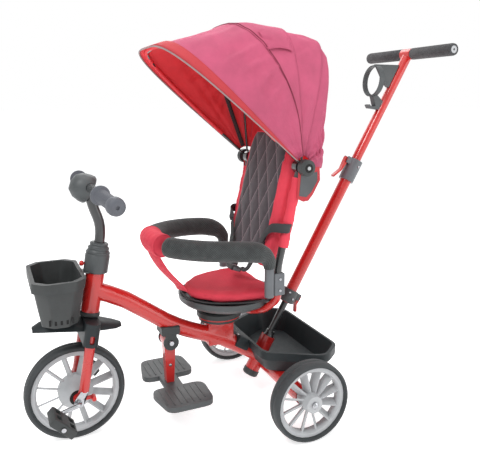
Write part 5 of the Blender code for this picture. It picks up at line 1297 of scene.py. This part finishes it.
def build_lights(key_power):
    for name, place, size, share in LIGHTS:
        light = bpy.data.lights.new(name, "AREA")
        light.size = size
        light.energy = key_power * share
        lamp = bpy.data.objects.new(name, light)
        bpy.context.scene.collection.objects.link(lamp)
        lamp.location = place
        lamp.rotation_euler = (LIGHT_AIM - Vector(place)).to_track_quat("-Z", "Y").to_euler()


def build_camera(place):
    scene = bpy.context.scene
    camera = bpy.data.cameras.new("photo_view")
    camera.sensor_width = 36.0
    camera.lens = 42.715
    camera.shift_y = -0.0625
    camera.clip_start = 0.05
    eye = bpy.data.objects.new("photo_view", camera)
    scene.collection.objects.link(eye)
    eye.location = place
    eye.rotation_euler = (CAMERA_PITCH, 0, CAMERA_YAW)
    scene.camera = eye
    scene.view_settings.view_transform = "Standard"


# Operators

class TRICYCLE_OT_materials(Operator):
    """Make the materials and give each CAD piece its finish"""
    bl_idname = "tricycle.materials"
    bl_label = "Finishes"

    def execute(self, context):
        make_materials(context.scene.tricycle)
        finish_nodes()
        return {"FINISHED"}


class TRICYCLE_OT_stage(Operator):
    """Add the floor, lights and camera"""
    bl_idname = "tricycle.stage"
    bl_label = "Studio"

    def execute(self, context):
        settings = context.scene.tricycle
        build_floor()
        build_world(settings.sky_strength)
        build_lights(settings.key_power)
        build_camera(settings.eye)
        return {"FINISHED"}


class TRICYCLE_OT_wheels(Operator):
    """Add the tyres and hub rings"""
    bl_idname = "tricycle.wheels"
    bl_label = "Wheels"

    def execute(self, context):
        build_wheels()
        return {"FINISHED"}


class TRICYCLE_OT_canopy(Operator):
    """Add the canopy's cloth, hem, seams and gussets"""
    bl_idname = "tricycle.canopy"
    bl_label = "Canopy"

    def execute(self, context):
        build_canopy(context.scene.tricycle.cloth_thickness)
        return {"FINISHED"}


class TRICYCLE_OT_seat(Operator):
    """Add the padded seat and the quilted backrest"""
    bl_idname = "tricycle.seat"
    bl_label = "Seat and backrest"

    def execute(self, context):
        settings = context.scene.tricycle
        build_cushion()
        padded_cover("backrest", shrink=0.0045, cap=0.006)
        build_quilt(settings.quilt_width, settings.quilt_height)
        build_sleeves()
        return {"FINISHED"}


class TRICYCLE_OT_restraints(Operator):
    """Add the harness, the safety bar's foam and its cover"""
    bl_idname = "tricycle.restraints"
    bl_label = "Harness and safety bar"

    def execute(self, context):
        settings = context.scene.tricycle
        build_harness(settings.strap_width)
        build_safety_bar(settings.foam_radius)
        build_bar_cover()
        return {"FINISHED"}


class TRICYCLE_OT_fittings(Operator):
    """Add the grips, foam sleeves, screws and small trim"""
    bl_idname = "tricycle.fittings"
    bl_label = "Grips and fittings"

    def execute(self, context):
        for build in (build_grips, build_fittings, build_basket_slot_shades, build_boot_folds,
                      build_footrest_ridges, build_dropouts, build_swivel_ring):
            build()
        return {"FINISHED"}


STEPS = (TRICYCLE_OT_materials, TRICYCLE_OT_stage, TRICYCLE_OT_wheels, TRICYCLE_OT_canopy,
         TRICYCLE_OT_seat, TRICYCLE_OT_restraints, TRICYCLE_OT_fittings)


class TRICYCLE_PT_panel(Panel):
    """The tricycle's settings and steps in the sidebar"""
    bl_label = "Tricycle"
    bl_idname = "TRICYCLE_PT_panel"
    bl_space_type = "VIEW_3D"
    bl_region_type = "UI"
    bl_category = "Tricycle"

    def draw(self, context):
        for name in TricycleSettings.__annotations__:
            self.layout.prop(context.scene.tricycle, name)
        for step in STEPS:
            self.layout.operator(step.bl_idname)


def register():
    for cls in (TricycleSettings, *STEPS, TRICYCLE_PT_panel):
        bpy.utils.register_class(cls)
    bpy.types.Scene.tricycle = PointerProperty(type=TricycleSettings)


def unregister():
    del bpy.types.Scene.tricycle
    for cls in reversed((TricycleSettings, *STEPS, TRICYCLE_PT_panel)):
        bpy.utils.unregister_class(cls)


def main():
    register()
    for step in STEPS:
        group, name = step.bl_idname.split(".")
        getattr(getattr(bpy.ops, group), name)()


if __name__ == "__main__":
    main()
